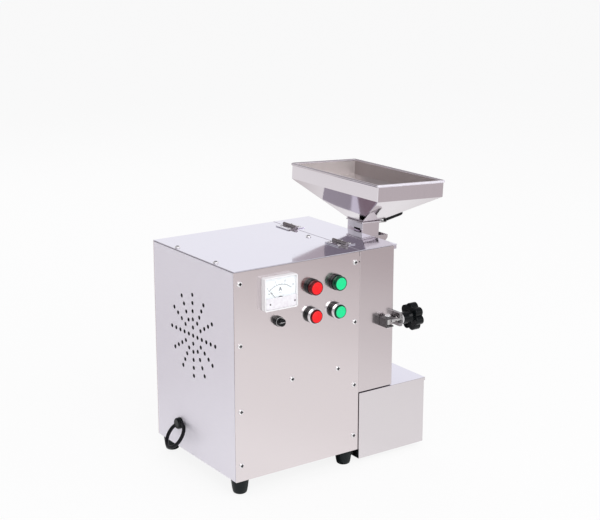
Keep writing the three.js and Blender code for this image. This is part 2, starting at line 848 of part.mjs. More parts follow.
function doorHingeBracket() {
  const half = hingeEarHeight / 2 + fit + hingeKnuckleHeight;
  const span = [shaftHeight - half, shaftHeight + half];
  const outside = [bodyDepth + fit, bodyDepth + fit + plate];
  const leaf = block([headEnd - hingeLeafLength, hingeX + hingeKnuckleRadius], outside, span);
  const arms = [-1, 1].map((side) => {
    const near = shaftHeight + side * (hingeEarHeight / 2 + fit);
    const far = near + side * hingeKnuckleHeight;
    const armSpan = [Math.min(near, far), Math.max(near, far)];
    const knuckle = bar("z", hingeKnuckleRadius, ...armSpan, [hingeX, hingeY], smallSides);
    const arm = block([hingeX, hingeX + hingeKnuckleRadius], [hingeY, outside[1]], armSpan);
    const shaved = block([doorInner - hingeKnuckleRadius, doorInner], [axisY, bodyDepth], armSpan);
    return cutBy(joined([knuckle, arm]), [shaved]);
  });
  const pin = bar("z", hingePinRadius, ...span, [hingeX, hingeY], smallSides);
  return joined([leaf, ...arms, pin]);
}
addPiece("door_hinge_bracket", doorHingeBracket(), plainSteel);

// Inclined chute on the door, wide open at the top for the hopper's neck
const chuteStart = doorOuter + fit;
const chuteEnd = chuteStart + chuteReach;
const chuteTop = bodyHeight - foldDepth - chuteTopGap;
const chuteFoot = feedHoleBottom - chuteFootGap - sheet;
const neckX = chuteStart + neckOffset;

function feedChute() {
  const half = neckHalfDepth + fit;
  const wall = (by) => [
    [chuteStart + by, chuteTop],
    [chuteEnd - by, chuteTop],
    [chuteEnd - by, chuteTop - chuteLip],
    [chuteStart + chuteShelfReach - by, chuteTop - chuteLip - chuteShelf],
    [chuteStart + chuteHeelReach - by, chuteFoot + by],
    [chuteStart + by, chuteFoot + by],
  ];
  const outer = profileAlongY(wall(0), axisY - half - sheet, axisY + half + sheet);
  const inner = profileAlongY(wall(sheet), axisY - half, axisY + half);
  const mouth = block([chuteStart + sheet, chuteEnd - sheet], [axisY - half, axisY + half],
    [chuteTop - sheet, chuteTop + overrun]);
  const doorSide = block([chuteStart - overrun, chuteStart + overrun], [axisY - half, axisY + half],
    [chuteFoot + sheet, feedHoleTop]);
  return cutBy(outer, [inner, mouth, doorSide]);
}
addPiece("feed_chute", feedChute(), polishedSteel);

// Hopper: neck, funnel, skirt and hemmed rim in one welded sheet body
const hopperGroup = new THREE.Group();
hopperGroup.position.set(neckX, axisY, 0);
const leanPivot = bodyHeight;
const leaning = new THREE.Group();
leaning.position.set(0, 0, leanPivot);
leaning.rotation.y = THREE.MathUtils.degToRad(hopperLeanDegrees);
hopperGroup.add(leaning);
part.add(hopperGroup);

const gateTop = neckTop - gateDrop;
const gateBottom = gateTop - gateThickness;
const neckInnerLength = neckHalfLength - sheet;
const neckInnerDepth = neckHalfDepth - sheet;

function atLeanPivot(solid) {
  return solid.translate([0, 0, -leanPivot]);
}

function hopperBody() {
  const outer = squareLoft([
    [neckHalfLength, neckHalfDepth, neckBottom],
    [neckHalfLength, neckHalfDepth, neckTop],
    [skirtHalfLength, skirtHalfDepth, skirtBottom],
    [skirtHalfLength, skirtHalfDepth, rimTop],
  ]);
  const hem = squareLoft([
    [skirtHalfLength + hemWidth, skirtHalfDepth + hemWidth, rimTop - hemHeight],
    [skirtHalfLength + hemWidth, skirtHalfDepth + hemWidth, rimTop],
  ]);
  const inner = squareLoft([
    [neckInnerLength, neckInnerDepth, neckBottom - overrun],
    [neckInnerLength, neckInnerDepth, neckTop + sheet / 2],
    [skirtHalfLength - sheet, skirtHalfDepth - sheet, skirtBottom + sheet / 2],
    [skirtHalfLength - sheet, skirtHalfDepth - sheet, rimTop + overrun],
  ]);
  const body = joined([outer, hem]).subtract(inner);
  const ledges = [-1, 1].map((side) => {
    const edges = [side * (neckInnerDepth - ledgeWidth), side * (neckInnerDepth + sheet / 2)];
    const span = [gateBottom - fit - ledgeThickness, gateBottom - fit];
    const ends = outset([-neckInnerLength, neckInnerLength], sheet / 2);
    return block(ends, edges.sort((a, b) => a - b), span);
  });
  const slotDepth = neckInnerDepth - gateSideGap / 2;
  const gateSlot = block([neckInnerLength - sheet, neckHalfLength + overrun], [-slotDepth, slotDepth],
    [gateBottom - fit, gateTop + fit]);
  const slotTop = neckTop - neckSlotDrop;
  const peepSlot = block([-neckHalfLength - overrun, -neckInnerLength + sheet],
    [-neckInnerDepth + ledgeWidth, -neckInnerDepth + ledgeWidth + neckSlotWidth],
    [slotTop - neckSlotHeight, slotTop]);
  return cutBy(joined([body, ...ledges]), [gateSlot, peepSlot]);
}
addPiece("hopper", atLeanPivot(hopperBody()), mirrorSteel, leaning);

const gateHalfDepth = neckInnerDepth - gateSideGap;
const gateEnds = [-neckInnerLength + fit, gateReach];
const gatePlate = block(gateEnds, [-gateHalfDepth, gateHalfDepth], [gateBottom, gateTop]);
addPiece("gate_plate", atLeanPivot(gatePlate), plainSteel, leaning);

// Grip of the gate: a bent rod in a black sleeve, lying on the plate's outer end
function gateGrip() {
  const side = gateHalfDepth - handleInset;
  const low = gateTop + fit + handleRadius;
  const start = gateReach - handleOverlap;
  const run = handleReach + handleOverlap;
  const at = (share, y) => new THREE.Vector3(start + run * share, y, low + handleRise * share);
  const corner = 1 - handleCorner / run;
  const path = new THREE.CurvePath();
  path.add(new THREE.LineCurve3(at(0, -side), at(corner, -side)));
  path.add(new THREE.QuadraticBezierCurve3(at(corner, -side), at(1, -side), at(1, -side + handleCorner)));
  path.add(new THREE.LineCurve3(at(1, -side + handleCorner), at(1, side - handleCorner)));
  path.add(new THREE.QuadraticBezierCurve3(at(1, side - handleCorner), at(1, side), at(corner, side)));
  path.add(new THREE.LineCurve3(at(corner, side), at(0, side)));
  return tubeAlong(path, handleRadius, 8, 26);
}
addPiece("gate_grip", atLeanPivot(gateGrip()), blackPlastic, leaning);

// Lid of the head and its two butt hinges on the seam
addPiece("head_lid", headLid(), mirrorSteel);
const lidHingeZ = bodyHeight + fit + lidHingeBarrelRadius;
const leafSpan = [bodyHeight + fit, bodyHeight + fit + lidHingeLeafThickness];

function hingeLeaf(middle, side, knuckles) {
  const start = middle - lidHingeLength / 2;
  const clear = lidHingeBarrelRadius + fit;
  const across = (near) => {
    return [bodyLength + side * near, bodyLength + side * lidHingeLeafWidth].sort((a, b) => a - b);
  };
  const flat = block(across(clear), [start, start + lidHingeLength], leafSpan);
  const barrels = knuckles.flatMap(([from, to]) => {
    const ends = [start + from, start + to];
    const barrel = bar("y", lidHingeBarrelRadius, ...ends, [bodyLength, lidHingeZ], smallSides);
    const tongue = block(across(0), ends, leafSpan);
    return [barrel, tongue];
  });
  const bore = bar("y", lidHingePinRadius + fit, start - overrun, start + lidHingeLength + overrun,
    [bodyLength, lidHingeZ], smallSides);
  return cutBy(joined([flat, ...barrels]), [bore]);
}

lidHingePlaces.forEach((middle, index) => {
  const place = ["front", "rear"][index];
  const farKnuckle = lidHingeLength - lidHingeKnuckle;
  const outerKnuckles = [[0, lidHingeKnuckle], [farKnuckle, lidHingeLength]];
  const innerKnuckle = [[lidHingeKnuckle + fit, farKnuckle - fit]];
  const start = middle - lidHingeLength / 2;
  const barrelPlace = [bodyLength, lidHingeZ];
  const pin = bar("y", lidHingePinRadius, start, start + lidHingeLength, barrelPlace, smallSides);
  const rivetEnd = start + lidHingePinRadius;
  const rivet = bar("y", lidHingeBarrelRadius - fit, start, rivetEnd, barrelPlace, smallSides);
  const fixed = joined([hingeLeaf(middle, -1, outerKnuckles), pin, rivet]);
  addPiece(`lid_hinge_${place}_fixed_leaf`, fixed, plainSteel);
  addPiece(`lid_hinge_${place}_lid_leaf`, hingeLeaf(middle, 1, innerKnuckle), plainSteel);
});

// Swing bolt clamp: bracket, pin, bolt, washer and star knob
const clampX = headEnd - clampPinOffset;
const eyeSpan = [clampHeight - eyeHeight / 2, clampHeight + eyeHeight / 2];
const armGap = eyeHeight / 2 + fit;

function clampBracket() {
  const webEnd = clampX - eyeRadius - sheet;
  const full = armGap + clampArmThickness;
  const depth = [-clampWebDepth, -fit];
  const web = block([webEnd - clampWebThickness, webEnd], depth, [clampHeight - full, clampHeight + full]);
  const armEnds = [webEnd - clampWebThickness, webEnd - clampWebThickness + clampArmReach];
  const upper = block(armEnds, depth, [clampHeight + armGap, clampHeight + full]);
  const lower = block(armEnds, depth, [clampHeight - full, clampHeight - armGap]);
  const hole = bar("z", pinRadius + fit, clampHeight - full - overrun, clampHeight + full + overrun,
    [clampX, clampY], smallSides);
  return cutBy(joined([web, upper, lower]), [hole]);
}
addPiece("clamp_bracket", clampBracket(), plainSteel);

const pinTop = clampHeight + armGap + clampArmThickness + fit;
const pinBottom = clampHeight - armGap - clampArmThickness - fit;
addPiece("clamp_pin", turnedPiece("z", [
  [0, pinBottom - pinHeadHeight],
  [pinHeadRadius, pinBottom - pinHeadHeight],
  [pinHeadRadius, pinBottom],
  [pinRadius, pinBottom],
  [pinRadius, pinTop],
  [pinHeadRadius, pinTop],
  [pinHeadRadius, pinTop + pinHeadHeight],
  [0, pinTop + pinHeadHeight],
], [clampX, clampY, 0], smallSides), plainSteel);

const boltPlace = [clampY, clampHeight];
function swingBolt() {
  const eye = bar("z", eyeRadius, ...eyeSpan, [clampX, clampY], smallSides);
  const shank = bar("x", boltRadius, clampX + pinRadius + fit, clampX + boltReach, boltPlace, smallSides);
  const hole = bar("z", pinRadius + fit, ...outset(eyeSpan, overrun), [clampX, clampY], smallSides);
  return cutBy(joined([eye, shank]), [hole]);
}
addPiece("swing_bolt", swingBolt(), plainSteel);

const washerStart = doorOuter + washerGap;
const washerEnd = washerStart + washerThickness;
addPiece("clamp_washer", turnedPiece("x", [
  [boltRadius + fit, washerStart],
  [washerRadius, washerStart],
  [washerRadius, washerEnd],
  [boltRadius + fit, washerEnd],
], [0, ...boltPlace], smallSides), plainSteel);

const hubStart = washerEnd + fit;
const starStart = hubStart + knobHubLength;
function starKnob() {
  const outline = new THREE.Shape(around(knobLobes * 6, (angle) => {
    const reach = knobRadius - knobBevel - knobLobeDepth * (1 + Math.cos(knobLobes * angle));
    return new THREE.Vector2(reach * Math.cos(angle), reach * Math.sin(angle));
  }));
  const geometry = new THREE.ExtrudeGeometry(outline, {
    depth: knobThickness - 2 * knobBevel,
    bevelSize: knobBevel,
    bevelThickness: knobBevel,
    bevelSegments: 2,
  });
  geometry.rotateY(Math.PI / 2);
  geometry.translate(starStart + knobBevel, ...boltPlace);
  const hub = bar("x", knobHubRadius, hubStart, starStart + knobBevel, boltPlace, smallSides);
  const boreEnd = clampX + boltReach + boltEndGap;
  const bore = bar("x", boltRadius + fit, hubStart - overrun, boreEnd, boltPlace, smallSides);
  return cutBy(joined([solidOf(geometry), hub]), [bore]);
}
addPiece("star_knob", starKnob(), blackPlastic);

// Panel meter
const meterFrontY = -fit - meterProud + fit;
const meterSides = [meterX - meterWidth / 2, meterX + meterWidth / 2];
const meterSpan = [meterZ - meterHeight / 2, meterZ + meterHeight / 2];
const recessFloor = meterFrontY + meterRecess;

function meterCase() {
  const box = block(meterSides, [meterFrontY, -fit], meterSpan);
  const drum = bar("y", meterDrumRadius, -fit - sheet / 2, meterDrumLength, [meterX, meterZ]);
  const depth = [meterFrontY - overrun, recessFloor];
  const recess = block(inset(meterSides, meterBorder), depth, inset(meterSpan, meterBorder));
  return cutBy(joined([box, drum]), [recess]);
}
addPiece("meter_case", meterCase(), whitePlastic);

const dialFront = recessFloor - fit - dialThickness;
const windowSides = inset(meterSides, meterBorder + fit);
const windowSpan = inset(meterSpan, meterBorder + fit);
addPiece("meter_dial", block(windowSides, [dialFront, recessFloor - fit], windowSpan), dialPaper);
const lensFront = meterFrontY + lensInset;
addPiece("meter_lens", block(windowSides, [lensFront, lensFront + lensThickness], windowSpan), clearPlastic);

function meterNeedle() {
  const pivotZ = meterZ - needlePivotDrop;
  const back = dialFront - fit - needleThickness;
  const hub = bar("y", needleHubRadius, back - needleThickness, back + needleThickness, [0, 0], smallSides);
  const across = [-needleWidth / 2, needleWidth / 2];
  const pointer = block(across, [back, back + needleThickness], [0, needleLength]);
  const upright = joined([hub, pointer]);
  return upright.rotate([0, -needleDegrees, 0]).translate([meterX, 0, pivotZ]);
}
addPiece("meter_needle", meterNeedle(), blackPlastic);

// Pilot lamps and push buttons, all turned round an axis square to the panel.
// Distances along it grow outwards, from the panel's face at zero.
function lampBody() {
  return [
    [0, -shankLength],
    [shankRadius, -shankLength],
    [shankRadius, fit],
    [collarRadius, fit],
    [collarRadius, lampCollar],
    [0, lampCollar],
  ];
}

function lampLens() {
  const start = lampCollar + fit;
  return [
    [0, start],
    [lampLensRadius, start],
    [lampLensRadius, start + lampLensLength - lampLensEdge],
    [lampLensRadius - lampLensEdge, start + lampLensLength],
    [0, start + lampLensLength],
  ];
}

function buttonBody() {
  return [
    [0, -shankLength],
    [shankRadius, -shankLength],
    [shankRadius, fit],
    [collarRadius, fit],
    [collarRadius, bezelLength],
    [capRadius + fit, bezelLength],
    [capRadius + fit, capSeat],
    [0, capSeat],
  ];
}

function buttonCap() {
  return [
    [0, capSeat + buttonTravel + fit],
    [capRadius, capSeat + buttonTravel + fit],
    [capRadius, bezelLength + capProud],
    [0, bezelLength + capProud],
  ];
}

function onPanel(profile, x, z) {
  return turnedPiece("front", profile, [x, 0, z]);
}

const controls = { stop: [stopX, redPlastic], start: [startX, greenPlastic] };
for (const [name, [x, colour]] of Object.entries(controls)) {
  addPiece(`${name}_lamp_body`, onPanel(lampBody(), x, lampZ), blackPlastic);
  addPiece(`${name}_lamp_lens`, onPanel(lampLens(), x, lampZ), colour);
  addPiece(`${name}_button_body`, onPanel(buttonBody(), x, buttonZ), chromeTrim);
  addPiece(`${name}_button_cap`, onPanel(buttonCap(), x, buttonZ), colour);
}

// Fuse holder with its slotted cap
addPiece("fuse_holder", onPanel([
  [0, -fuseShankLength],
  [fuseShankRadius, -fuseShankLength],
  [fuseShankRadius, fit],
  [fuseCollarRadius, fit],
  [fuseCollarRadius, fuseCollarLength],
  [0, fuseCollarLength],
], fuseX, fuseZ), blackPlastic);

function fuseCap() {
  const start = fuseCollarLength + fit;
  const end = start + fuseCapLength;
  const round = onPanel([[0, start], [fuseCapRadius, start], [fuseCapRadius, end], [0, end]], fuseX, fuseZ);
  const reach = fuseCapRadius + overrun;
  const slot = block([fuseX - reach, fuseX + reach], [-end - overrun, -end + fuseSlotDepth],
    [fuseZ - fuseSlotWidth / 2, fuseZ + fuseSlotWidth / 2]);
  return cutBy(round, [slot]);
}
addPiece("fuse_cap", fuseCap(), blackPlastic);

// Loop of rubber cord, both ends held in one gland on the left panel
const glandMiddle = new THREE.Vector3(-fit - glandLength / 2, glandY, glandZ);
const loopLean = new THREE.Vector3(...loopLeanShares).normalize();
const loopNormal = new THREE.Vector3(...loopNormalShares).normalize();
const loopTangent = new THREE.Vector3().crossVectors(loopNormal, loopLean).normalize();
const loopMiddle = glandMiddle.clone().addScaledVector(loopLean, loopRadius);

class LoopCurve extends THREE.Curve {
  constructor(openDegrees) {
    super();
    this.openDegrees = openDegrees;
  }

  getPoint(share, target = new THREE.Vector3()) {
    const open = THREE.MathUtils.degToRad(this.openDegrees);
    const angle = open + share * (2 * Math.PI - 2 * open);
    target.copy(loopMiddle);
    target.addScaledVector(loopLean, -loopRadius * Math.cos(angle));
    return target.addScaledVector(loopTangent, loopRadius * Math.sin(angle));
  }
}

function loopGland() {
  return turnedPiece("x", [
    [0, fit],
    [glandRadius, fit],
    [glandRadius, fit + glandLength - glandEdge],
    [glandRadius - glandEdge, fit + glandLength],
    [0, fit + glandLength],
  ].map(([radius, reach]) => [radius, -reach]), [0, glandY, glandZ]);
}

const socketBore = tubeAlong(new LoopCurve(socketOpenDegrees), loopCordRadius + fit, 10, 28);
const looseLoop = tubeAlong(new LoopCurve(loopOpenDegrees), loopCordRadius, 10, 28);
addPiece("cord_gland", loopGland().subtract(socketBore), blackPlastic);
const cordLoop = addPiece("cord_loop", looseLoop, blackRubber);

// Rails under the head and the receiving bin that slides on them
const binStart = bodyLength + binGap;
const binEnd = binStart + binLength;
const binSides = [-binProud, bodyDepth + binProud];
const binTopStart = headEnd + seamGap;

function railPair() {
  const web = -binProud + binFlange + fit;
  const top = headFloorHeight - fit;
  const lipTop = binTop - sheet - fit;
  const ends = [headStart, endPlateInner - fit];
  const front = joined([
    block(ends, [web, web + sheet], [lipTop - sheet, top]),
    block(ends, [web - railReach, web + sheet], [lipTop - sheet, lipTop]),
  ]);
  const rear = front.mirror([0, 1, 0]).translate([0, bodyDepth, 0]);
  return [front, rear];
}
const [railFront, railRear] = railPair();
addPiece("bin_rail_front", railFront, plainSteel);
addPiece("bin_rail_rear", railRear, plainSteel);

function receivingBin() {
  const ends = [binStart, binEnd];
  const across = inset(binSides, sheet);
  const mouthSides = inset(binSides, binFlange);
  const box = block(ends, binSides, [binBottom, binTop]);
  const hollow = block(inset(ends, sheet), across, inset([binBottom, binTop], sheet));
  const aboveTop = outset([binTop - sheet, binTop], overrun);
  const mouth = block([binStart + sheet, binTopStart], mouthSides, aboveTop);
  const backTop = binTop - sheet - fit - sheet - fit;
  const back = block([binStart - overrun, binStart + sheet], across, [backTop, binTop - sheet]);
  const backEnds = outset([binStart, binStart + sheet], overrun);
  const backMouth = block(backEnds, mouthSides, [backTop, binTop + overrun]);
  const lipSpan = [binTop - binLipHeight, binTop];
  const lip = block([binEnd - sheet, binEnd + binLipReach], binSides, lipSpan);
  const lipHollowEnds = [binEnd - sheet - overrun, binEnd - sheet];
  const lipHollow = block(lipHollowEnds, across, [lipSpan[0] - overrun, binTop - sheet]);
  return cutBy(joined([cutBy(box, [hollow, mouth, back, backMouth]), lip]), [lipHollow]);
}
addPiece("receiving_bin", receivingBin(), mirrorSteel);

// Origin under the middle of the machine's box without its cord loop, on the surface
// that it stands on
part.updateMatrixWorld(true);
const machineBox = new THREE.Box3();
part.traverse((piece) => {
  if (piece.isMesh && piece !== cordLoop) machineBox.expandByObject(piece, true);
});
const machineMiddle = machineBox.getCenter(new THREE.Vector3());
part.position.set(-machineMiddle.x, -machineMiddle.y, -machineBox.min.z);

export default part;
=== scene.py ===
import math
import bmesh
import bpy
from mathutils import Matrix, Vector


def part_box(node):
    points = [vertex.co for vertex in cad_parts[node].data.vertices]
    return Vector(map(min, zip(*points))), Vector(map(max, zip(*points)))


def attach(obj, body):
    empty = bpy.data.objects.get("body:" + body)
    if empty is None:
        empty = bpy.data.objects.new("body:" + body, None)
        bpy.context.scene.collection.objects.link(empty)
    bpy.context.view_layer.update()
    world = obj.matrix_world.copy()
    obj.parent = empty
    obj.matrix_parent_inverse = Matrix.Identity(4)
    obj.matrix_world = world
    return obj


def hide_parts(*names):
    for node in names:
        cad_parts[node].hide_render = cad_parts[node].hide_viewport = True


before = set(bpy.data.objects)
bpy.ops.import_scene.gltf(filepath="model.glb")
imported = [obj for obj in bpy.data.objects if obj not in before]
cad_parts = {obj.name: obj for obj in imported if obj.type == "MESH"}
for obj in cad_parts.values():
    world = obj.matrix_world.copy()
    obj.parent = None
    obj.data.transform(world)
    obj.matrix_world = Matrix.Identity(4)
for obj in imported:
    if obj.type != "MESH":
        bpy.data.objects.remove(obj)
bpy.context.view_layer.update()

# Camera
# A long lens looks down at the machine's front left corner from a little above
# the hopper. Places are given in millimetres from the casing's lower front left
# corner, with X along the control panel, Y towards the back and Z up.
casing_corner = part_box("front_panel")[0].copy()


def at(x, y, z):
    return casing_corner + Vector((x, y, z)) / 1000


def placed(name, data):
    """A new object in the scene, at the origin."""
    piece = bpy.data.objects.new(name, data)
    bpy.context.scene.collection.objects.link(piece)
    return piece


viewpoint = placed("viewpoint", bpy.data.cameras.new("viewpoint"))
viewpoint.location = at(-1047.8, -1689.7, 897.7)
look_down = 14.66
look_along = 55.31
viewpoint.rotation_euler = (math.radians(90 - look_down), 0, math.radians(look_along - 90))
sensor_width = 36
picture_width = 600
lens_in_pixels = 1302.2
viewpoint.data.sensor_width = sensor_width
viewpoint.data.lens = lens_in_pixels / picture_width * sensor_width
viewpoint.data.shift_x = 2.9 / picture_width
viewpoint.data.shift_y = 1.3 / picture_width
viewpoint.data.clip_end = 30
bpy.context.scene.camera = viewpoint

# Cord loop
# A short loop of black rubber cord stands out from the left panel. Both of its
# ends are held in the sockets of one moulded gland.


def shader_of(name, colour, roughness, metallic=0.0):
    finish = bpy.data.materials.new(name)
    finish.use_nodes = True
    surface = finish.node_tree.nodes["Principled BSDF"]
    surface.inputs["Base Color"].default_value = (*colour, 1)
    surface.inputs["Roughness"].default_value = roughness
    surface.inputs["Metallic"].default_value = metallic
    return finish, finish.node_tree, surface


def node_in(tree, kind, inputs=None, **settings):
    """A new shader node. An input is linked where a socket is given, and set where a value is."""
    node = tree.nodes.new(kind)
    for name, value in settings.items():
        setattr(node, name, value)
    for name, value in (inputs or {}).items():
        if isinstance(value, bpy.types.NodeSocket):
            tree.links.new(value, node.inputs[name])
        else:
            node.inputs[name].default_value = value
    return node


def speckle(tree, surface, scale, low, high, bump=0.0, distance=0.0002):
    """Uneven gloss, and a fine bump, from noise on Object coordinates."""
    place = node_in(tree, "ShaderNodeTexCoord").outputs["Object"]
    noise = node_in(tree, "ShaderNodeTexNoise", {"Scale": scale, "Detail": 4, "Vector": place})
    grain = noise.outputs["Fac"]
    span = node_in(tree, "ShaderNodeMapRange", {"To Min": low, "To Max": high, "Value": grain})
    tree.links.new(span.outputs["Result"], surface.inputs["Roughness"])
    if bump:
        relief = node_in(tree, "ShaderNodeBump", {"Strength": bump, "Distance": distance, "Height": grain})
        tree.links.new(relief.outputs["Normal"], surface.inputs["Normal"])
    return grain


def tinted(tree, surface, grain, dark, light):
    """Slight change of colour that follows the same grain."""
    shade = node_in(tree, "ShaderNodeValToRGB", {"Fac": grain})
    for stop, place, colour in zip(shade.color_ramp.elements, (0.3, 0.7), (dark, light)):
        stop.position = place
        stop.color = (*colour, 1)
    tree.links.new(shade.outputs["Color"], surface.inputs["Base Color"])


def grained(name, colour, roughness, metallic, spread, dark, light, specular=None):
    """A finish with a fine grain. Spread gives its scale, its gloss from low to high, and its bump."""
    finish, tree, surface = shader_of(name, colour, roughness, metallic)
    tinted(tree, surface, speckle(tree, surface, *spread), dark, light)
    if specular is not None:
        surface.inputs["Specular IOR Level"].default_value = specular
    return finish


def rod_along(name, points, radius, closed=False):
    """A round rod along the points, as an object in the scene."""
    line = bpy.data.curves.new(name, "CURVE")
    line.dimensions = "3D"
    line.bevel_depth = radius
    line.bevel_resolution = 5
    line.use_fill_caps = True
    run = line.splines.new("POLY")
    run.points.add(len(points) - 1)
    run.use_cyclic_u = closed
    run.use_smooth = True
    for point, place in zip(run.points, points):
        point.co = (*place, 1)
    return placed(name, line)


cord_rubber = grained("cord_rubber", (0.005, 0.005, 0.008), 0.42, 0.0, (900, 0.36, 0.55, 0.15),
                      (0.003, 0.003, 0.005), (0.007, 0.007, 0.010), specular=0.2)

loop_radius = 22.8
gland_middle = Vector((-4.8, 182, 47))
loop_lean = Vector((-0.56, -0.46, -0.69)).normalized()
loop_normal = Vector((0.802, -0.091, -0.59)).normalized()
loop_tangent = loop_normal.cross(loop_lean).normalized()
loop_middle = gland_middle + loop_lean * loop_radius
loop_steps = 36
socket_turn = 12
loop_points = []
for step in range(loop_steps + 1):
    turn = math.radians(socket_turn + step * (360 - 2 * socket_turn) / loop_steps)
    reach = -loop_lean * math.cos(turn) + loop_tangent * math.sin(turn)
    loop_points.append(at(*(loop_middle + reach * loop_radius)))

cord_radius = 0.0032
cord = rod_along("cord_of_loop", loop_points, cord_radius)
cord.data.materials.append(cord_rubber)
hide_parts("cord_loop")
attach(cord, "casing")

# Studio
# The machine stands on a plain white floor under broad soft lights. The room that
# shows in the polished sheets is pale at eye level and darker towards its ceiling.
# In the sheets its floor shows painted shade far off and under the machine, and a
# painted shadow of the machine behind it.


def mesh_of(name, form):
    """The form as a mesh. The form itself is freed."""
    mesh = bpy.data.meshes.new(name)
    form.to_mesh(mesh)
    form.free()
    return mesh


studio_floor = bmesh.new()
bmesh.ops.create_grid(studio_floor, x_segments=1, y_segments=1, size=60.0)
under_feet = 0.0005
bmesh.ops.translate(studio_floor, vec=Vector((0, 0, -under_feet)), verts=studio_floor.verts)
floor_mesh = mesh_of("studio_floor", studio_floor)
floor = placed("studio_floor", floor_mesh)

floor_paint, tree, surface = shader_of("floor_paint", (0.92, 0.92, 0.92), 0.9)
floor_mesh.materials.append(floor_paint)


def any_of(tree, *rays):
    """One where the light path is any of the named kinds of ray."""
    paths = node_in(tree, "ShaderNodeLightPath")
    total = paths.outputs[rays[0]]
    for ray in rays[1:]:
        either = node_in(tree, "ShaderNodeMath", {0: total, 1: paths.outputs[ray]}, operation="MAXIMUM")
        total = either.outputs["Value"]
    return total


shown = any_of(tree, "Is Camera Ray", "Is Glossy Ray", "Is Transmission Ray")
share = node_in(tree, "ShaderNodeMath", {0: shown, 1: 0.88}, operation="MULTIPLY")
spot = node_in(tree, "ShaderNodeNewGeometry").outputs["Position"]


def warm_grey(shade):
    """A grey that turns slightly rosy where it is dark."""
    return shade, shade - 0.11 * (1 - shade), shade - 0.09 * (1 - shade), 1


def shade_along(tree, direction, *shades):
    """Painted shade on the floor: grey that changes with the place along one way over it."""
    along = node_in(tree, "ShaderNodeVectorMath", {0: spot, 1: direction}, operation="DOT_PRODUCT")
    ramp = node_in(tree, "ShaderNodeValToRGB", {"Fac": along.outputs["Value"]})
    stops = ramp.color_ramp.elements
    stops[1].color = warm_grey(shades[-1][1])
    for place, shade in shades[:-1]:
        stops.new(place).color = warm_grey(shade)
    stops[0].color = (1, 1, 1, 1)
    return ramp.outputs["Color"]


# The floor as the sheets show it: painted shade far off in front and behind, a painted shadow of the machine
# just behind it, and painted shade under it.
painted_shade_before = shade_along(tree, (0.50, -0.16, 0), (0.1, 0.92), (0.25, 0.88), (0.36, 0.76), (0.53, 0.68),
                        (0.60, 0.54), (0.7, 0.49), (1.0, 0.50))
painted_shadow_behind = shade_along(tree, (-0.10, 0.174, 0), (0.07, 0.97), (0.09, 0.85), (0.14, 0.5), (0.22, 0.6),
                        (0.29, 0.87), (0.80, 0.87), (0.92, 0.3), (1.0, 0.28))
distant = node_in(tree, "ShaderNodeMixRGB", {"Fac": 1.0, "Color1": painted_shade_before, "Color2": painted_shadow_behind},
                  blend_type="MULTIPLY")
floor_place = node_in(tree, "ShaderNodeSeparateXYZ", {"Vector": spot})
both_ways = {}
for index, (axis, middle, half) in enumerate((("X", 0.005, 0.21), ("Y", 0.015, 0.125))):
    within = node_in(tree, "ShaderNodeMath", {0: floor_place.outputs[axis], 1: middle, 2: half},
                     operation="COMPARE")
    both_ways[index] = within.outputs["Value"]
painted_shade_beneath = node_in(tree, "ShaderNodeMath", both_ways, operation="MULTIPLY")
shaded = node_in(tree, "ShaderNodeMixRGB", {"Fac": painted_shade_beneath.outputs["Value"],
                                            "Color1": distant.outputs["Color"],
                                            "Color2": (0.02, 0.02, 0.02, 1)})
shown_floor = node_in(tree, "ShaderNodeMixRGB", {"Fac": any_of(tree, "Is Glossy Ray"),
                                                 "Color1": (1, 1, 1, 1),
                                                 "Color2": shaded.outputs["Color"]})
glow = node_in(tree, "ShaderNodeEmission", {"Strength": 1.0, "Color": shown_floor.outputs["Color"]})
mixed = node_in(tree, "ShaderNodeMixShader", {0: share.outputs["Value"], 1: surface.outputs["BSDF"],
                                              2: glow.outputs["Emission"]})
tree.links.new(mixed.outputs["Shader"], tree.nodes["Material Output"].inputs["Surface"])


def soft_light(name, place, target, width, height, power, mirrored):
    lamp = bpy.data.lights.new(name, "AREA")
    lamp.shape = "RECTANGLE"
    lamp.size, lamp.size_y, lamp.energy = width, height, power
    holder = placed(name, lamp)
    holder.location = place
    holder.visible_glossy = mirrored
    holder.rotation_euler = (Vector(target) - Vector(place)).to_track_quat("-Z", "Y").to_euler()


soft_light("key_light", (-0.7, -2.7, 2.3), (0, 0, 0.2), 3.0, 2.0, 48, True)
soft_light("fill_light", (2.2, -2.0, 1.8), (0, 0, 0.2), 2.0, 1.6, 14, False)
soft_light("back_light", (0.5, 2.6, 2.4), (0, 0, 0.3), 2.4, 1.6, 22, False)

room = bpy.data.worlds.new("studio_room")
bpy.context.scene.world = room
room.use_nodes = True
tree = room.node_tree
soft_room = tree.nodes["Background"]
soft_room.inputs["Color"].default_value = (0.82, 0.81, 0.83, 1)
soft_room.inputs["Strength"].default_value = 0.72
direction = node_in(tree, "ShaderNodeTexCoord").outputs["Generated"]
split = node_in(tree, "ShaderNodeSeparateXYZ", {"Vector": direction})
height_shade = node_in(tree, "ShaderNodeValToRGB", {"Fac": split.outputs["Z"]})
steps = height_shade.color_ramp.elements
steps[0].color = (0.96, 0.96, 0.97, 1)
steps[1].color = (0.40, 0.38, 0.40, 1)
for place, shade in ((0.34, (0.92, 0.92, 0.95)), (0.46, (0.42, 0.39, 0.41)), (0.65, (0.40, 0.37, 0.39)),
                     (0.80, (0.38, 0.36, 0.38))):
    steps.new(place).color = (*shade, 1)
darker_side = node_in(tree, "ShaderNodeMapRange", {"From Min": -0.6, "From Max": 0.2, "To Min": 0.56,
                                                   "To Max": 1.0, "Value": split.outputs["X"]})
shown_room = node_in(tree, "ShaderNodeBackground", {"Color": height_shade.outputs["Color"],
                                                    "Strength": darker_side.outputs["Result"]})
white_room = node_in(tree, "ShaderNodeBackground", {"Color": (1, 1, 1, 1)})
in_metal = node_in(tree, "ShaderNodeMixShader", {0: any_of(tree, "Is Glossy Ray"),
                                                 1: soft_room.outputs["Background"],
                                                 2: shown_room.outputs["Background"]})
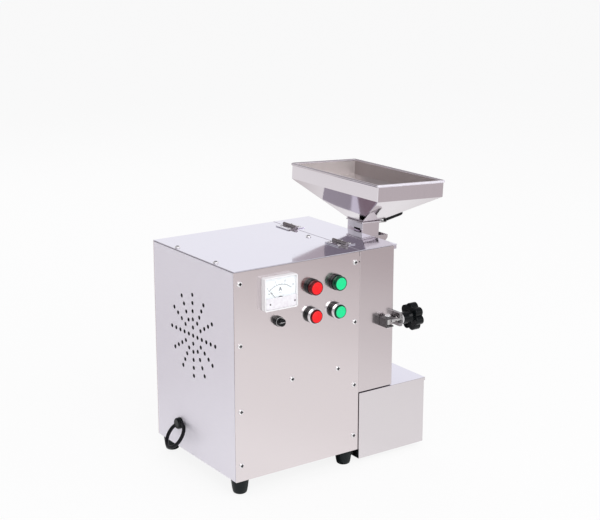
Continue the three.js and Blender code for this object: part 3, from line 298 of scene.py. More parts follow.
in_view = node_in(tree, "ShaderNodeMixShader", {0: any_of(tree, "Is Camera Ray", "Is Transmission Ray"),
                                                1: in_metal.outputs["Shader"],
                                                2: white_room.outputs["Background"]})
tree.links.new(in_view.outputs["Shader"], tree.nodes["World Output"].inputs["Surface"])
bpy.context.scene.view_settings.view_transform = "Standard"

# Casing sheets
# Sheets of stainless steel for the casing and the grinding head, 1.5 to 3 mm thick,
# cut, folded and screwed to each other. Their edges are broken by hand with a file.


def polished(name, colour, low, high, wave, grain=(3, 3, 90)):
    """Polished stainless: fine grain in the gloss along one way, and a slow wave in the sheet."""
    finish, tree, surface = shader_of(name, colour, low, 1.0)
    place = node_in(tree, "ShaderNodeTexCoord").outputs["Object"]
    drawn = node_in(tree, "ShaderNodeMapping", {"Scale": grain, "Vector": place}).outputs["Vector"]
    streaks = node_in(tree, "ShaderNodeTexNoise", {"Scale": 14, "Detail": 8, "Vector": drawn}).outputs["Fac"]
    span = node_in(tree, "ShaderNodeMapRange", {"From Min": 0.3, "From Max": 0.7, "To Min": low,
                                                "To Max": high, "Value": streaks})
    tree.links.new(span.outputs["Result"], surface.inputs["Roughness"])
    swell = node_in(tree, "ShaderNodeTexNoise", {"Scale": 6, "Detail": 1, "Vector": place}).outputs["Fac"]
    relief = node_in(tree, "ShaderNodeBump", {"Strength": wave, "Distance": 0.003, "Height": swell})
    tree.links.new(relief.outputs["Normal"], surface.inputs["Normal"])
    tinted(tree, surface, streaks, [tone * 0.97 for tone in colour], colour)
    return finish


panel_steel = polished("panel_steel", (0.81, 0.745, 0.757), 0.15, 0.20, 0.12)
head_steel = polished("head_steel", (0.74, 0.68, 0.695), 0.16, 0.22, 0.12)
side_steel = polished("side_steel", (0.91, 0.88, 0.95), 0.46, 0.50, 0.05)
side_steel.node_tree.nodes["Principled BSDF"].inputs["Metallic"].default_value = 0.35
cover_steel = polished("cover_steel", (0.835, 0.815, 0.905), 0.05, 0.09, 0.22, (3, 90, 90))
inner_steel = polished("inner_steel", (0.46, 0.45, 0.46), 0.30, 0.42, 0.10)


def fixed_on(piece, body, nodes=(), edge=0.0, segments=2, sharp=35):
    """The piece rides on its body and stands for its CAD nodes. Edge is in millimetres."""
    piece.data.shade_smooth()
    if edge:
        broken = piece.modifiers.new("edge", "BEVEL")
        broken.width = edge / 1000
        broken.segments = segments
        broken.limit_method = "ANGLE"
        broken.angle_limit = math.radians(sharp)
        soft = piece.modifiers.new("faces", "WEIGHTED_NORMAL")
        soft.keep_sharp = True
    else:
        piece.data.set_sharp_from_angle(angle=math.radians(sharp))
    if nodes:
        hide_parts(*nodes)
    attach(piece, body)
    return piece


def as_cut(name, node, finish, body, edge=0.4, segments=2):
    """The CAD piece itself with its faces merged and its edges broken, in its finish."""
    form = bmesh.new()
    form.from_mesh(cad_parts[node].data)
    bmesh.ops.remove_doubles(form, verts=form.verts, dist=1e-6)
    bmesh.ops.dissolve_limit(form, angle_limit=math.radians(1), verts=form.verts, edges=form.edges)
    mesh = mesh_of(name, form)
    mesh.materials.append(finish)
    return fixed_on(placed(name, mesh), body, [node], edge, segments)


for node, finish, slot in (
    ("front_panel", panel_steel, "polished_steel"),
    ("rear_panel", panel_steel, "polished_steel"),
    ("top_cover", cover_steel, "mirror_steel"),
    ("base_tray", inner_steel, "plain_steel"),
    ("partition_plate", inner_steel, "plain_steel"),
    ("head_front_cover", head_steel, "polished_steel"),
    ("head_rear_cover", head_steel, "polished_steel"),
    ("head_end_plate", inner_steel, "plain_steel"),
    ("head_floor", inner_steel, "plain_steel"),
):
    as_cut(f"{node}_sheet", node, finish, "casing", 0.7, 3)

# Vent panel
# The left sheet of the casing, punched with a star of 53 round holes in front of
# the motor's fan. The punch leaves a slight roll at the rim of each hole.


def in_metres(form):
    """The form from millimetres at the casing's corner to metres in the scene."""
    bmesh.ops.scale(form, vec=Vector((0.001, 0.001, 0.001)), verts=form.verts)
    bmesh.ops.translate(form, vec=casing_corner, verts=form.verts)


def made(name, form, finish, *more):
    """A new piece from a bmesh in millimetres from the casing's corner."""
    in_metres(form)
    mesh = mesh_of(name, form)
    for each in (finish, *more):
        mesh.materials.append(each)
    return placed(name, mesh)


def block(form, low, high):
    """A closed box between two corners, added to the form."""
    low, high = Vector(low), Vector(high)
    corners = bmesh.ops.create_cube(form, size=1)["verts"]
    bmesh.ops.scale(form, vec=high - low, verts=corners)
    bmesh.ops.translate(form, vec=(low + high) / 2, verts=corners)
    return corners


def set_at(form, verts, turn, place):
    """Turns the vertices about the origin, then moves them to their place."""
    bmesh.ops.rotate(form, cent=Vector(), matrix=turn, verts=verts)
    bmesh.ops.translate(form, vec=Vector(place), verts=verts)


def verts_of(parts):
    """The vertices among the parts that an operator has made."""
    return [part for part in parts if isinstance(part, bmesh.types.BMVert)]


casing_depth = 265
middle_depth = casing_depth / 2
sheet = 1.5
corner_gap = 2.4
panel_top = 357.6
star_height = 220
ring_pitch = 14.35
hole_radius = 3.55
vent_face = bmesh.new()
corners = ((0, corner_gap, 0), (0, casing_depth - corner_gap, 0),
           (0, casing_depth - corner_gap, panel_top), (0, corner_gap, panel_top))
outline = [vent_face.verts.new(corner) for corner in corners]
for here, there in zip(outline, outline[1:] + outline[:1]):
    vent_face.edges.new((here, there))
vent_places = [(middle_depth, star_height)]
for ray in range(12):
    for ring in range(1 if ray % 3 == 0 else 2, 6):
        turn = math.radians(30 * ray)
        reach = ring_pitch * ring
        vent_places.append((middle_depth + reach * math.sin(turn), star_height + reach * math.cos(turn)))
for y, z in vent_places:
    rim = bmesh.ops.create_circle(vent_face, segments=26, radius=hole_radius)["verts"]
    set_at(vent_face, rim, Matrix.Rotation(math.pi / 2, 3, "Y"), (0, y, z))
bmesh.ops.triangle_fill(vent_face, use_beauty=True, edges=vent_face.edges[:])
thick = bmesh.ops.extrude_face_region(vent_face, geom=vent_face.faces[:])["geom"]
bmesh.ops.translate(vent_face, vec=Vector((sheet, 0, 0)), verts=verts_of(thick))
bmesh.ops.recalc_face_normals(vent_face, faces=vent_face.faces)
# The walls of the holes are painted near black: painted shade inside the punched holes.
painted_hole_shade = grained("painted_hole_shade", (0.03, 0.03, 0.032), 0.6, 0.0, (900, 0.5, 0.7),
                     (0.02, 0.02, 0.022), (0.04, 0.04, 0.042))
for face in vent_face.faces:
    wall_y, wall_z = face.calc_center_median().yz
    off_the_edge = 4 < wall_y < 260 and 4 < wall_z < 354
    face.material_index = 1 if abs(face.normal.x) < 0.5 and off_the_edge else 0
vent_sheet = made("vent_sheet", vent_face, side_steel, painted_hole_shade)
fixed_on(vent_sheet, "casing", ["vent_panel"], 0.12)

# Corner seams
# The left sheet's flanges and a thin strip under the top sheet are painted near black
# as painted shade, which shows as a thin dark line in the open seams at the casing's
# corners and under the top sheet.
painted_seam_shade = grained("painted_seam_shade", (0.02, 0.02, 0.022), 0.6, 0.0, (300, 0.5, 0.7, 0.1),
                       (0.014, 0.014, 0.016), (0.028, 0.028, 0.03))
flanges = bmesh.new()
flange_foot = 2.3
flange_top = 346.7
for near, far in ((1.8, 3.3), (261.7, 263.2)):
    block(flanges, (0.75, near, flange_foot), (20, far, flange_top))
fixed_on(made("shade_painted_flanges", flanges, painted_seam_shade), "casing", ["vent_panel"], 0.1)
painted_seam_strip = bmesh.new()
block(painted_seam_strip, (sheet, 2.5, 347.2), (1.78, 262.5, 358.4))
fixed_on(made("painted_seam_strip", painted_seam_strip, painted_seam_shade), "casing")

# Screws of the casing
# Pan head screws of nickel plated steel, 9.4 mm across with a cross recess, hold the
# front and rear panels to the flanges inside and the top sheet to its folds.
facings = {
    "up": Matrix.Identity(3),
    "down": Matrix.Rotation(math.pi, 3, "X"),
    "front": Matrix.Rotation(math.pi / 2, 3, "X"),
    "rear": Matrix.Rotation(-math.pi / 2, 3, "X"),
    "right": Matrix.Rotation(math.pi / 2, 3, "Y"),
    "left": Matrix.Rotation(-math.pi / 2, 3, "Y"),
}


def turned(profile, place=(0, 0, 0), facing="up", steps=48, form=None):
    """A turned shape from radii and distances along its axis, spun once round."""
    form = form or bmesh.new()
    others = set(form.verts)
    line = [form.verts.new((radius, 0, along)) for radius, along in profile]
    edges = [form.edges.new(pair) for pair in zip(line, line[1:])]
    bmesh.ops.spin(form, geom=line + edges, cent=Vector(), axis=Vector((0, 0, 1)),
                   angle=math.tau, steps=steps, use_merge=True)
    bmesh.ops.remove_doubles(form, verts=[vert for vert in form.verts if vert not in others], dist=1e-4)
    fresh = [vert for vert in form.verts if vert not in others]
    bmesh.ops.recalc_face_normals(form, faces=list({face for vert in fresh for face in vert.link_faces}))
    set_at(form, fresh, facings[facing], place)
    return form


def pour(form, holder):
    """Adds the holder's finished mesh to the form and takes the holder away."""
    bpy.context.view_layer.update()
    shown = holder.evaluated_get(bpy.context.evaluated_depsgraph_get())
    form.from_mesh(shown.to_mesh())
    shown.to_mesh_clear()
    bpy.data.objects.remove(holder)


def carved(form, cutter):
    """The form with the cutter's shape taken out of it."""
    holders = [placed("carving", mesh_of("carving", shape)) for shape in (form, cutter)]
    cut = holders[0].modifiers.new("cut", "BOOLEAN")
    cut.object = holders[1]
    cut.operation = "DIFFERENCE"
    cut.solver = "EXACT"
    cut.use_self = True
    result = bmesh.new()
    pour(result, holders[0])
    bpy.data.objects.remove(holders[1])
    return result


def screw_head(radius, height, recess):
    """A domed screw head whose cross recess is painted dark as painted shade, as a mesh that stands on its
    flange.
    """
    dome = turned([(0, 0), (radius, 0), (radius, 0.25 * height), (0.93 * radius, 0.55 * height),
                   (0.75 * radius, 0.82 * height), (0.4 * radius, 0.97 * height), (0, height)], steps=28)
    cross = bmesh.new()
    arm = 0.4 * recess
    block(cross, (-recess, -arm, 0.3 * height), (recess, arm, 2 * height))
    block(cross, (-arm, -recess, 0.3 * height), (arm, recess, 2 * height))
    form = carved(dome, cross)
    for face in form.faces:
        short, long = sorted(abs(part) for part in face.calc_center_median().xy)
        within = short < arm + 0.01 and long < recess + 0.01
        face.material_index = 1 if within and face.calc_center_median().z > 0.2 * height else 0
    return mesh_of("screw_head", form)


def fastened(name, head, places, facing, finish, body):
    """One head at each place, all in one piece."""
    form = bmesh.new()
    for place in places:
        before = len(form.verts)
        form.from_mesh(head)
        form.verts.ensure_lookup_table()
        fresh = form.verts[before:]
        set_at(form, fresh, facings[facing], place)
    return fixed_on(made(name, form, finish, painted_recess_shade), body, sharp=30)


screw_steel = grained("screw_steel", (0.93, 0.92, 0.93), 0.3, 0.55, (700, 0.24, 0.36, 0.05),
                      (0.88, 0.87, 0.88), (0.96, 0.95, 0.96))
# The cross recesses are painted near black: painted shade in their hollows.
painted_recess_shade = grained("painted_recess_shade", (0.03, 0.028, 0.03), 0.6, 0.0, (900, 0.5, 0.7),
                       (0.02, 0.018, 0.02), (0.04, 0.038, 0.04))
pan_head = screw_head(4.7, 2.7, 2.9)
casing_height = 360
panel_screws = [(10.3, 339), (10.3, 235.3), (10.3, 122.6), (10.3, 28.5),
                (240.6, 340.7), (240.6, 236), (240.6, 122.4), (240.6, 28.8)]
middle_screws = [(111.6, 159.1), (205.7, 158.8)]
front_screws = [(x, 0, z) for x, z in panel_screws + middle_screws]
fastened("front_screws", pan_head, front_screws, "front", screw_steel, "casing")
rear_screws = [(x, casing_depth, z) for x, z in panel_screws]
fastened("rear_screws", pan_head, rear_screws, "rear", screw_steel, "casing")
cover_screws = [(x, y, casing_height) for x, y in ((8, 68), (8, 193), (236, 130))]
fastened("cover_screws", pan_head, cover_screws, "up", screw_steel, "casing")

# Feet
# Four moulded rubber feet with a collar and a round taper, each held to the tray
# by a screw in the deep recess below.
foot_rubber = grained("foot_rubber", (0.005, 0.008, 0.009), 0.45, 0.0, (500, 0.38, 0.55, 0.12),
                      (0.003, 0.006, 0.007), (0.008, 0.012, 0.013), specular=0.25)
foot_screw = screw_head(3.4, 2.2, 1.9)
foot_places = {"front_left": (18, 18), "front_right": (233, 18),
               "rear_left": (18, 247), "rear_right": (233, 247)}
recess_floor = -21
foot_profile = [(0, -0.3), (15, -0.3), (15, -5.4), (14.6, -6.2), (14.4, -9), (13.4, -17), (12.3, -23),
                (11.4, -25.6), (9.6, -27), (4, -27), (4, recess_floor), (0, recess_floor)]
for corner, (x, y) in foot_places.items():
    foot = turned(foot_profile, (x, y, 0))
    foot_piece = made(f"rubber_foot_{corner}", foot, foot_rubber)
    fixed_on(foot_piece, "casing", [f"foot_{corner}"], 0.5)
foot_screws = [(x, y, recess_floor) for x, y in foot_places.values()]
fastened("foot_screws", foot_screw, foot_screws, "down", screw_steel, "casing")

# Cord gland
# A black moulded gland with two sockets, clipped into the left sheet. It grips
# both ends of the cord loop and has two shallow grooves for the fingers.
black_moulding = grained("black_moulding", (0.005, 0.006, 0.007), 0.3, 0.0, (600, 0.18, 0.30, 0.06),
                         (0.003, 0.004, 0.005), (0.007, 0.009, 0.010), specular=0.25)
gland_profile = [(0, 0.3), (10, 0.3), (10, 2.4), (9.2, 2.8), (9.2, 3.4), (10, 3.8), (10, 4.8), (9.2, 5.2),
                 (9.2, 5.8), (10, 6.2), (10, 7.3), (8.2, 9.3), (0, 9.3)]
gland = turned(gland_profile, (0, 182, 47), "left")
fixed_on(made("moulded_gland", gland, black_moulding), "casing", ["cord_gland"], 0.3)

# Motor
# A small flange motor lies in a folded steel cradle. Its round shell is painted
# grey blue, its bell is a bare casting, and fan and cowl are black mouldings.
motor_enamel = grained("motor_enamel", (0.09, 0.12, 0.16), 0.45, 0.0, (260, 0.35, 0.55, 0.25, 0.0006),
                       (0.075, 0.10, 0.135), (0.11, 0.145, 0.19))
bare_casting = grained("bare_casting", (0.50, 0.50, 0.51), 0.5, 0.9, (340, 0.40, 0.62, 0.35, 0.0005),
                       (0.36, 0.36, 0.37), (0.60, 0.60, 0.61))
bright_shaft = grained("bright_shaft", (0.62, 0.61, 0.61), 0.25, 1.0, (420, 0.18, 0.34, 0.08),
                       (0.52, 0.51, 0.51), (0.68, 0.67, 0.67))
fan_moulding = grained("fan_moulding", (0.02, 0.02, 0.022), 0.5, 0.0, (300, 0.42, 0.6, 0.1),
                       (0.014, 0.014, 0.016), (0.028, 0.028, 0.03))
for node, finish, body, slot, edge in (
    ("motor_shell", motor_enamel, "casing", "motor_paint", 0.4),
    ("motor_front_bell", bare_casting, "casing", "cast_metal", 0.6),
    ("motor_shaft", bright_shaft, "rotor", "plain_steel", 0.4),
    ("motor_fan", fan_moulding, "rotor", "black_plastic", 0.3),
    ("motor_fan_cowl", fan_moulding, "casing", "black_plastic", 0.3),
    ("motor_cradle", inner_steel, "casing", "plain_steel", 0.4),
):
    as_cut(f"{node}_finished", node, finish, body, edge)

# Grinding chamber
# A cast drum with a slotted sieve ring, a bladed steel rotor on the motor's shaft
# and a notched wear ring that is pressed into the drum's mouth.
sieve_steel = grained("sieve_steel", (0.52, 0.51, 0.52), 0.35, 1.0, (520, 0.28, 0.45, 0.1),
                      (0.42, 0.41, 0.42), (0.58, 0.57, 0.58))
for node, finish, body, slot, edge in (
    ("chamber_drum", bare_casting, "casing", "cast_metal", 0.5),
    ("sieve_ring", sieve_steel, "casing", "sieve_steel", 0.2),
    ("grinding_rotor", bright_shaft, "rotor", "plain_steel", 0.3),
    ("wear_ring", bare_casting, "casing", "cast_metal", 0.3),
):
    as_cut(f"{node}_finished", node, finish, body, edge)

# Chamber door
# A machined casting closes the drum. It carries the forked lug for the swing bolt
# in front, turns on a bracket behind, and holds the inclined feed chute.
door_casting = grained("door_casting", (0.40, 0.39, 0.40), 0.38, 1.0, (380, 0.28, 0.48, 0.2, 0.0004),
                       (0.28, 0.27, 0.28), (0.48, 0.47, 0.48))
as_cut("chamber_door_cast", "chamber_door", door_casting, "casing", 0.8, 3)
bracket = as_cut("door_hinge_forged", "door_hinge_bracket", bright_shaft, "casing", 0.5)
screw_seat = 266
hinge_screws = [(x, screw_seat, z) for x in (298, 318) for z in (198, 242)]
whole, sinks = bmesh.new(), bmesh.new()
whole.from_mesh(bracket.data)
for place in hinge_screws:
    turned([(0, 0), (3.9, 0), (3.9, 5), (0, 5)], place, "rear", 28, sinks)
in_metres(sinks)
carved(whole, sinks).to_mesh(bracket.data)
bracket.data.shade_smooth()
fastened("door_hinge_screws", foot_screw, hinge_screws, "rear", screw_steel, "casing")
chute_steel = polished("chute_steel", (0.72, 0.68, 0.70), 0.16, 0.24, 0.10)
as_cut("feed_chute_sheet", "feed_chute", chute_steel, "casing", 0.4)

# Hopper
# Nearly square neck, funnel and skirt of 1.5 mm mirror polished sheet, welded at the
# corners. The rim is rolled over a wire, a bead runs round the neck's top, and the
# whole hopper leans outwards.
neck_x = 359.1
lean_outwards = 2.9


def leaned(form):
    bmesh.ops.rotate(form, cent=Vector((neck_x, middle_depth, casing_height)), verts=form.verts,
                     matrix=Matrix.Rotation(math.radians(lean_outwards), 3, "Y"))
    return form


def rolled(form, points, radius, closed=False):
    """A round rod along the points, added to the form."""
    pour(form, rod_along("rod", points, radius, closed))


def rounded(form, edges, radius, segments, clamped=False):
    """Rounds the given edges of the form."""
    bmesh.ops.bevel(form, geom=edges, offset=radius, offset_type="OFFSET", segments=segments, profile=0.5,
                    affect="EDGES", material=-1, clamp_overlap=clamped)


def rounded_corners(half_x, half_y, z, radius, steps=6):
    """Points round a rectangle about the neck's middle, with rounded corners."""
    points = []
    for corner, (side_x, side_y) in enumerate(((1, 1), (-1, 1), (-1, -1), (1, -1))):
        for step in range(steps + 1):
            turn = math.radians(90 * corner + 90 * step / steps)
            points.append((neck_x + side_x * (half_x - radius) + radius * math.cos(turn),
                           middle_depth + side_y * (half_y - radius) + radius * math.sin(turn), z))
    return points


neck_half_x, neck_half_y = 19.8, 22.1
skirt_half_x, skirt_half_y = 73.2, 128.4
neck_foot, neck_top = 332, 375
funnel_top, skirt_top = 433, 461.5
shell = bmesh.new()
bmesh.ops.create_grid(shell, x_segments=1, y_segments=1, size=1)
bmesh.ops.scale(shell, vec=Vector((neck_half_x, neck_half_y, 1)), verts=shell.verts)
bmesh.ops.translate(shell, vec=Vector((neck_x, middle_depth, neck_foot)), verts=shell.verts)
bmesh.ops.delete(shell, geom=shell.faces[:], context="FACES_ONLY")
ring = shell.edges[:]
levels = ((neck_half_x, neck_half_y, neck_foot), (neck_half_x, neck_half_y, neck_top),
          (skirt_half_x, skirt_half_y, funnel_top), (skirt_half_x, skirt_half_y, skirt_top))
for (old_x, old_y, old_z), (new_x, new_y, new_z) in zip(levels, levels[1:]):
    grown = bmesh.ops.extrude_edge_only(shell, edges=ring)["geom"]
    ring = [part for part in grown if isinstance(part, bmesh.types.BMEdge)]
    moved = verts_of(grown)
    bmesh.ops.scale(shell, vec=Vector((new_x / old_x, new_y / old_y, 1)), verts=moved,
                    space=Matrix.Translation((-neck_x, -middle_depth, 0)))
    bmesh.ops.translate(shell, vec=Vector((0, 0, new_z - old_z)), verts=moved)
welds = [edge for edge in shell.edges if abs(edge.verts[0].co.z - edge.verts[1].co.z) > 1]
rounded(shell, welds, 2.2, 3)
bmesh.ops.recalc_face_normals(shell, faces=shell.faces)
middle = Vector((neck_x, middle_depth, 400))
if sum((face.calc_center_median() - middle).dot(face.normal) for face in shell.faces) < 0:
    bmesh.ops.reverse_faces(shell, faces=shell.faces)
bmesh.ops.solidify(shell, geom=shell.faces[:], thickness=sheet)
openings = bmesh.new()
block(openings, (neck_x + 16, middle_depth - 20.3, 370.2), (neck_x + 24, middle_depth + 20.3, 372.3))
block(openings, (neck_x - 24, 114.9, 359.5), (neck_x - 16, 133.9, 363))
shell = carved(shell, openings)
for side in (-1, 1):
    edge_y = sorted((middle_depth + side * 17.6, middle_depth + side * 20.9))
    block(shell, (neck_x - 18.6, edge_y[0], 368.7), (neck_x + 18.6, edge_y[1], 370.2))
rolled(shell, rounded_corners(73.6, 128.8, 460.6, 3.2), 2.4, closed=True)
rolled(shell, rounded_corners(21.3, 23.6, 373.9, 1.2, 3), 1.1, closed=True)
hopper_steel = polished("hopper_steel", (0.82, 0.78, 0.82), 0.05, 0.09, 0.30, (30, 30, 3))
satin_painted_light = polished("satin_painted_light", (0.78, 0.725, 0.715), 0.34, 0.40, 0.10, (30, 30, 3))
satin_painted_shade = polished("satin_painted_shade", (0.46, 0.41, 0.41), 0.34, 0.40, 0.10, (30, 30, 3))
for satin in (satin_painted_light, satin_painted_shade):
    satin.node_tree.nodes["Principled BSDF"].inputs["Metallic"].default_value = 0.6
rim_start = 458
rim_sheet = 458.2
front_rim = -127
# Inside the hopper, lit and shaded copies of one satin: the front and back walls lighter as painted light,
# the side walls darker as painted shade. The top of the front rim takes the brighter side steel as a painted
# highlight.
for face in shell.faces:
    out = face.calc_center_median() - middle
    inward = out.x * face.normal.x + out.y * face.normal.y < 0
    if inward and face.calc_center_median().z < rim_start:
        face.material_index = 2 if abs(face.normal.x) > abs(face.normal.y) else 1
    elif face.calc_center_median().z > rim_sheet and out.y < front_rim:
        face.material_index = 3
hopper = made("hopper_shell", leaned(shell), hopper_steel, satin_painted_light, satin_painted_shade, side_steel)
fixed_on(hopper, "casing", ["hopper"], sharp=28)

# Feed gate
# A flat steel plate slides in the neck to meter the nuts. Its grip is a bent rod in
# a black sleeve, which lies on the plate's outer end.
as_cut("gate_slide", "gate_plate", bright_shaft, "feed_gate", 0.3)
grip_half = 18.1
grip_corner = 7
grip_start = 33.6
grip_run = 42
grip_foot = 374.4
grip_rise = 10
sleeve_radius = 3.1
grip_points = [(along, -grip_half) for along in (0, 0.4, 0.8)]
for step in range(7):
    turn = math.radians(15 * step)
    along = 1 - (grip_corner - grip_corner * math.sin(turn)) / grip_run
    grip_points.append((along, -grip_half + grip_corner - grip_corner * math.cos(turn)))
grip_points += [(along, -y) for along, y in reversed(grip_points)]
grip_path = [(neck_x + grip_start + grip_run * along, middle_depth + y, grip_foot + grip_rise * along)
             for along, y in grip_points]
grip = bmesh.new()
rolled(grip, grip_path, sleeve_radius)
grip_sleeve = made("grip_sleeve", leaned(grip), black_moulding)
fixed_on(grip_sleeve, "feed_gate", ["gate_grip"], sharp=50)

# Head lid and its hinges
# The mirror polished lid of the grinding head folds up at the seam on two steel
# butt hinges, which are screwed to the top sheet and to the lid.
as_cut("head_lid_sheet", "head_lid", cover_steel, "lid", 0.7, 3)
barrel_painted_reflection = grained("barrel_painted_reflection", (0.32, 0.29, 0.30), 0.22, 1.0, (420, 0.16, 0.28, 0.10),
                       (0.26, 0.235, 0.24), (0.38, 0.35, 0.36))
leaf_steel = polished("leaf_steel", (0.82, 0.80, 0.86), 0.08, 0.14, 0.05)
leaf_screw = screw_head(3.0, 1.1, 1.6)
seam_x = 251
leaf_top = 361.7
barrel_reach = 0.0036
for place, middle_y in (("front", 57), ("rear", 208.7)):
    for half, body in (("fixed", "casing"), ("lid", "lid")):
        leaf = as_cut(f"{place}_hinge_{half}_leaf", f"lid_hinge_{place}_{half}_leaf", leaf_steel, body,
                      0.3)
        # The knuckles take a dark steel: a painted reflection of the dark room in the round barrels.
        leaf.data.materials.append(barrel_painted_reflection)
        for face in leaf.data.polygons:
            face.material_index = 1 if abs(face.center.x - at(seam_x, 0, 0).x) < barrel_reach else 0
    for side, body in ((-1, "casing"), (1, "lid")):
        spots = [(seam_x + side * 11, middle_y + reach, leaf_top) for reach in (-12, 12)]
        fastened(f"{place}_hinge_{body}_screws", leaf_screw, spots, "up", screw_steel, body)

# Swing bolt clamp
# A forged eye bolt turns on a pin in a small channel bracket and swings into the
# door's fork. A loose washer and a black star knob of seven lobes draw it tight.
# A steel darkened in its colour, a painted reflection of the dark room on the channel bracket; the meter's
# small screws share it.
painted_reflection_steel = grained("painted_reflection_steel", (0.12, 0.115, 0.12), 0.24, 1.0, (420, 0.18, 0.30, 0.10),
                     (0.08, 0.075, 0.08), (0.16, 0.155, 0.16))
as_cut("clamp_channel", "clamp_bracket", painted_reflection_steel, "casing", 0.4)
pivot_x = 305
bolt_y = -10
bolt_z = 228
pin_profile = [(0, 216.4), (4.2, 216.4), (5, 217.2), (5, 219.4), (3, 219.4), (3, 236.6), (5, 236.6),
               (5, 238.8), (4.2, 239.6), (0, 239.6)]
pin = turned(pin_profile, (pivot_x, bolt_y, 0), steps=32)
fixed_on(made("clamp_pivot", pin, screw_steel), "casing", ["clamp_pin"], 0.3)

eye_profile = [(3.3, 222.5), (6.1, 222.5), (6.5, 222.9), (6.5, 233.1), (6.1, 233.5), (3.3, 233.5),
               (3.3, 222.5)]
bolt = turned(eye_profile, (pivot_x, bolt_y, 0), steps=36)
thread = [(0, 6.2), (3.9, 6.2), (3.9, 18)]
thread_pitch = 1.25
thread_turns = 31
for turn in range(thread_turns):
    start = 18.5 + thread_pitch * turn
    thread += [(3.35, start), (3.95, start + 0.5)]
thread += [(3.4, 57.4), (2.9, 58), (0, 58)]
turned(thread, (pivot_x, bolt_y, bolt_z), "right", 28, bolt)
fixed_on(made("eye_bolt", bolt, bright_shaft), "swing_bolt", ["swing_bolt"], sharp=30)

washer_profile = [(4.3, 332.5), (10, 332.5), (10, 334.3), (4.3, 334.3), (4.3, 332.5)]
washer = turned(washer_profile, (0, bolt_y, bolt_z), "right", 40)
fixed_on(made("loose_washer", washer, screw_steel), "knob_washer", ["clamp_washer"], 0.3)

knob_gloss = grained("knob_gloss", (0.003, 0.004, 0.005), 0.14, 0.0, (240, 0.10, 0.2, 0.05),
                     (0.002, 0.003, 0.004), (0.005, 0.007, 0.008), specular=0.25)
lobes = 7
waist_radius = 19.6
lobe_height = 4.9
knob_back = 352.1
knob_thickness = 15
knob = bmesh.new()
star = bmesh.ops.create_circle(knob, cap_ends=True, segments=140, radius=1)["verts"]
for vert in star:
    turn = math.atan2(vert.co.y, vert.co.x)
    reach = waist_radius + lobe_height * abs(math.sin(lobes / 2 * turn)) ** 0.9
    vert.co = Vector((reach * math.cos(turn), reach * math.sin(turn), knob_back))
top = bmesh.ops.extrude_face_region(knob, geom=knob.faces[:])["geom"]
bmesh.ops.translate(knob, vec=Vector((0, 0, knob_thickness)), verts=verts_of(top))
bmesh.ops.recalc_face_normals(knob, faces=knob.faces)
rims = [edge for edge in knob.edges if abs(edge.verts[0].co.z - edge.verts[1].co.z) < 0.1]
rounded(knob, rims, 3.4, 5, clamped=True)
face = max(knob.faces, key=lambda each: each.calc_center_median().z + each.calc_area() / 1000)
bmesh.ops.inset_region(knob, faces=[face], thickness=4.5, depth=-1.2, use_even_offset=True)
set_at(knob, knob.verts, facings["right"], (0, bolt_y, bolt_z))
hub_profile = [(4.3, 334.6), (9.6, 334.6), (10.5, 335.5), (10.5, 349.5), (12.5, 352.3), (4.3, 352.3),
               (4.3, 334.6)]
turned(hub_profile, (0, bolt_y, bolt_z), "right", 40, knob)
fixed_on(made("star_grip", knob, knob_gloss), "star_knob", ["star_knob"], sharp=40)

# Panel meter
# A white moulded ammeter with a printed dial behind a clear window. A frosted
# white cover hides the movement, and two small screws hold it on.
white_moulding = grained("white_moulding", (0.94, 0.93, 0.95), 0.25, 0.0, (400, 0.2, 0.3, 0.03),
                         (0.92, 0.91, 0.93), (0.96, 0.96, 0.96))
meter_x = 83.3
pivot_z = 297.5
case = bmesh.new()
block(case, (51.3, -12, 287.5), (115.3, -0.3, 343.5))
posts = [edge for edge in case.edges if abs(edge.verts[0].co.y - edge.verts[1].co.y) > 1]
rounded(case, posts, 3, 5)
face = min(case.faces, key=lambda each: each.calc_center_median().y)
bmesh.ops.inset_region(case, faces=[face], thickness=2.4, use_even_offset=True)
sunk = bmesh.ops.extrude_face_region(case, geom=[face])["geom"]
bmesh.ops.delete(case, geom=[face], context="FACES")
recess_depth = 5.4
bmesh.ops.translate(case, vec=Vector((0, recess_depth, 0)), verts=verts_of(sunk))
turned([(0, -26), (25, -26), (25, 0.25), (0, 0.25)], (meter_x, 0, 315.5), "front", 48, case)
fixed_on(made("meter_housing", case, white_moulding), "casing", ["meter_case"], 0.7, 3)

dial_card = grained("dial_card", (0.92, 0.96, 0.975), 0.6, 0.0, (500, 0.55, 0.65, 0.02),
                    (0.91, 0.95, 0.965), (0.93, 0.965, 0.98))
# The card also glows faintly: painted light that keeps the dial bright behind its window.
card_surface = dial_card.node_tree.nodes["Principled BSDF"]
card_surface.inputs["Emission Color"].default_value = (0.9, 0.97, 1.0, 1)
card_surface.inputs["Emission Strength"].default_value = 0.10
card = bmesh.new()
block(card, (54.1, -7.9, 290.3), (112.5, -6.9, 340.7))
fixed_on(made("dial_card", card, dial_card), "casing", ["meter_dial"], 0.1)

dial_ink = grained("dial_ink", (0.12, 0.14, 0.16), 0.6, 0.0, (900, 0.55, 0.65, 0.02),
                   (0.10, 0.12, 0.14), (0.15, 0.17, 0.19))
printed = bmesh.new()


def on_dial(angle, radius):
    turn = math.radians(angle)
    return meter_x + radius * math.sin(turn), pivot_z + radius * math.cos(turn)


def stroke(start, end, width):
    """A printed line on the dial between two places."""
    (x0, z0), (x1, z1) = start, end
    length = math.hypot(x1 - x0, z1 - z0)
    line = block(printed, (-width / 2, -7.96, 0), (width / 2, -7.88, length))
    lean = Matrix.Rotation(math.atan2(x1 - x0, z1 - z0), 3, "Y")
    set_at(printed, line, lean, (x0, 0, z0))


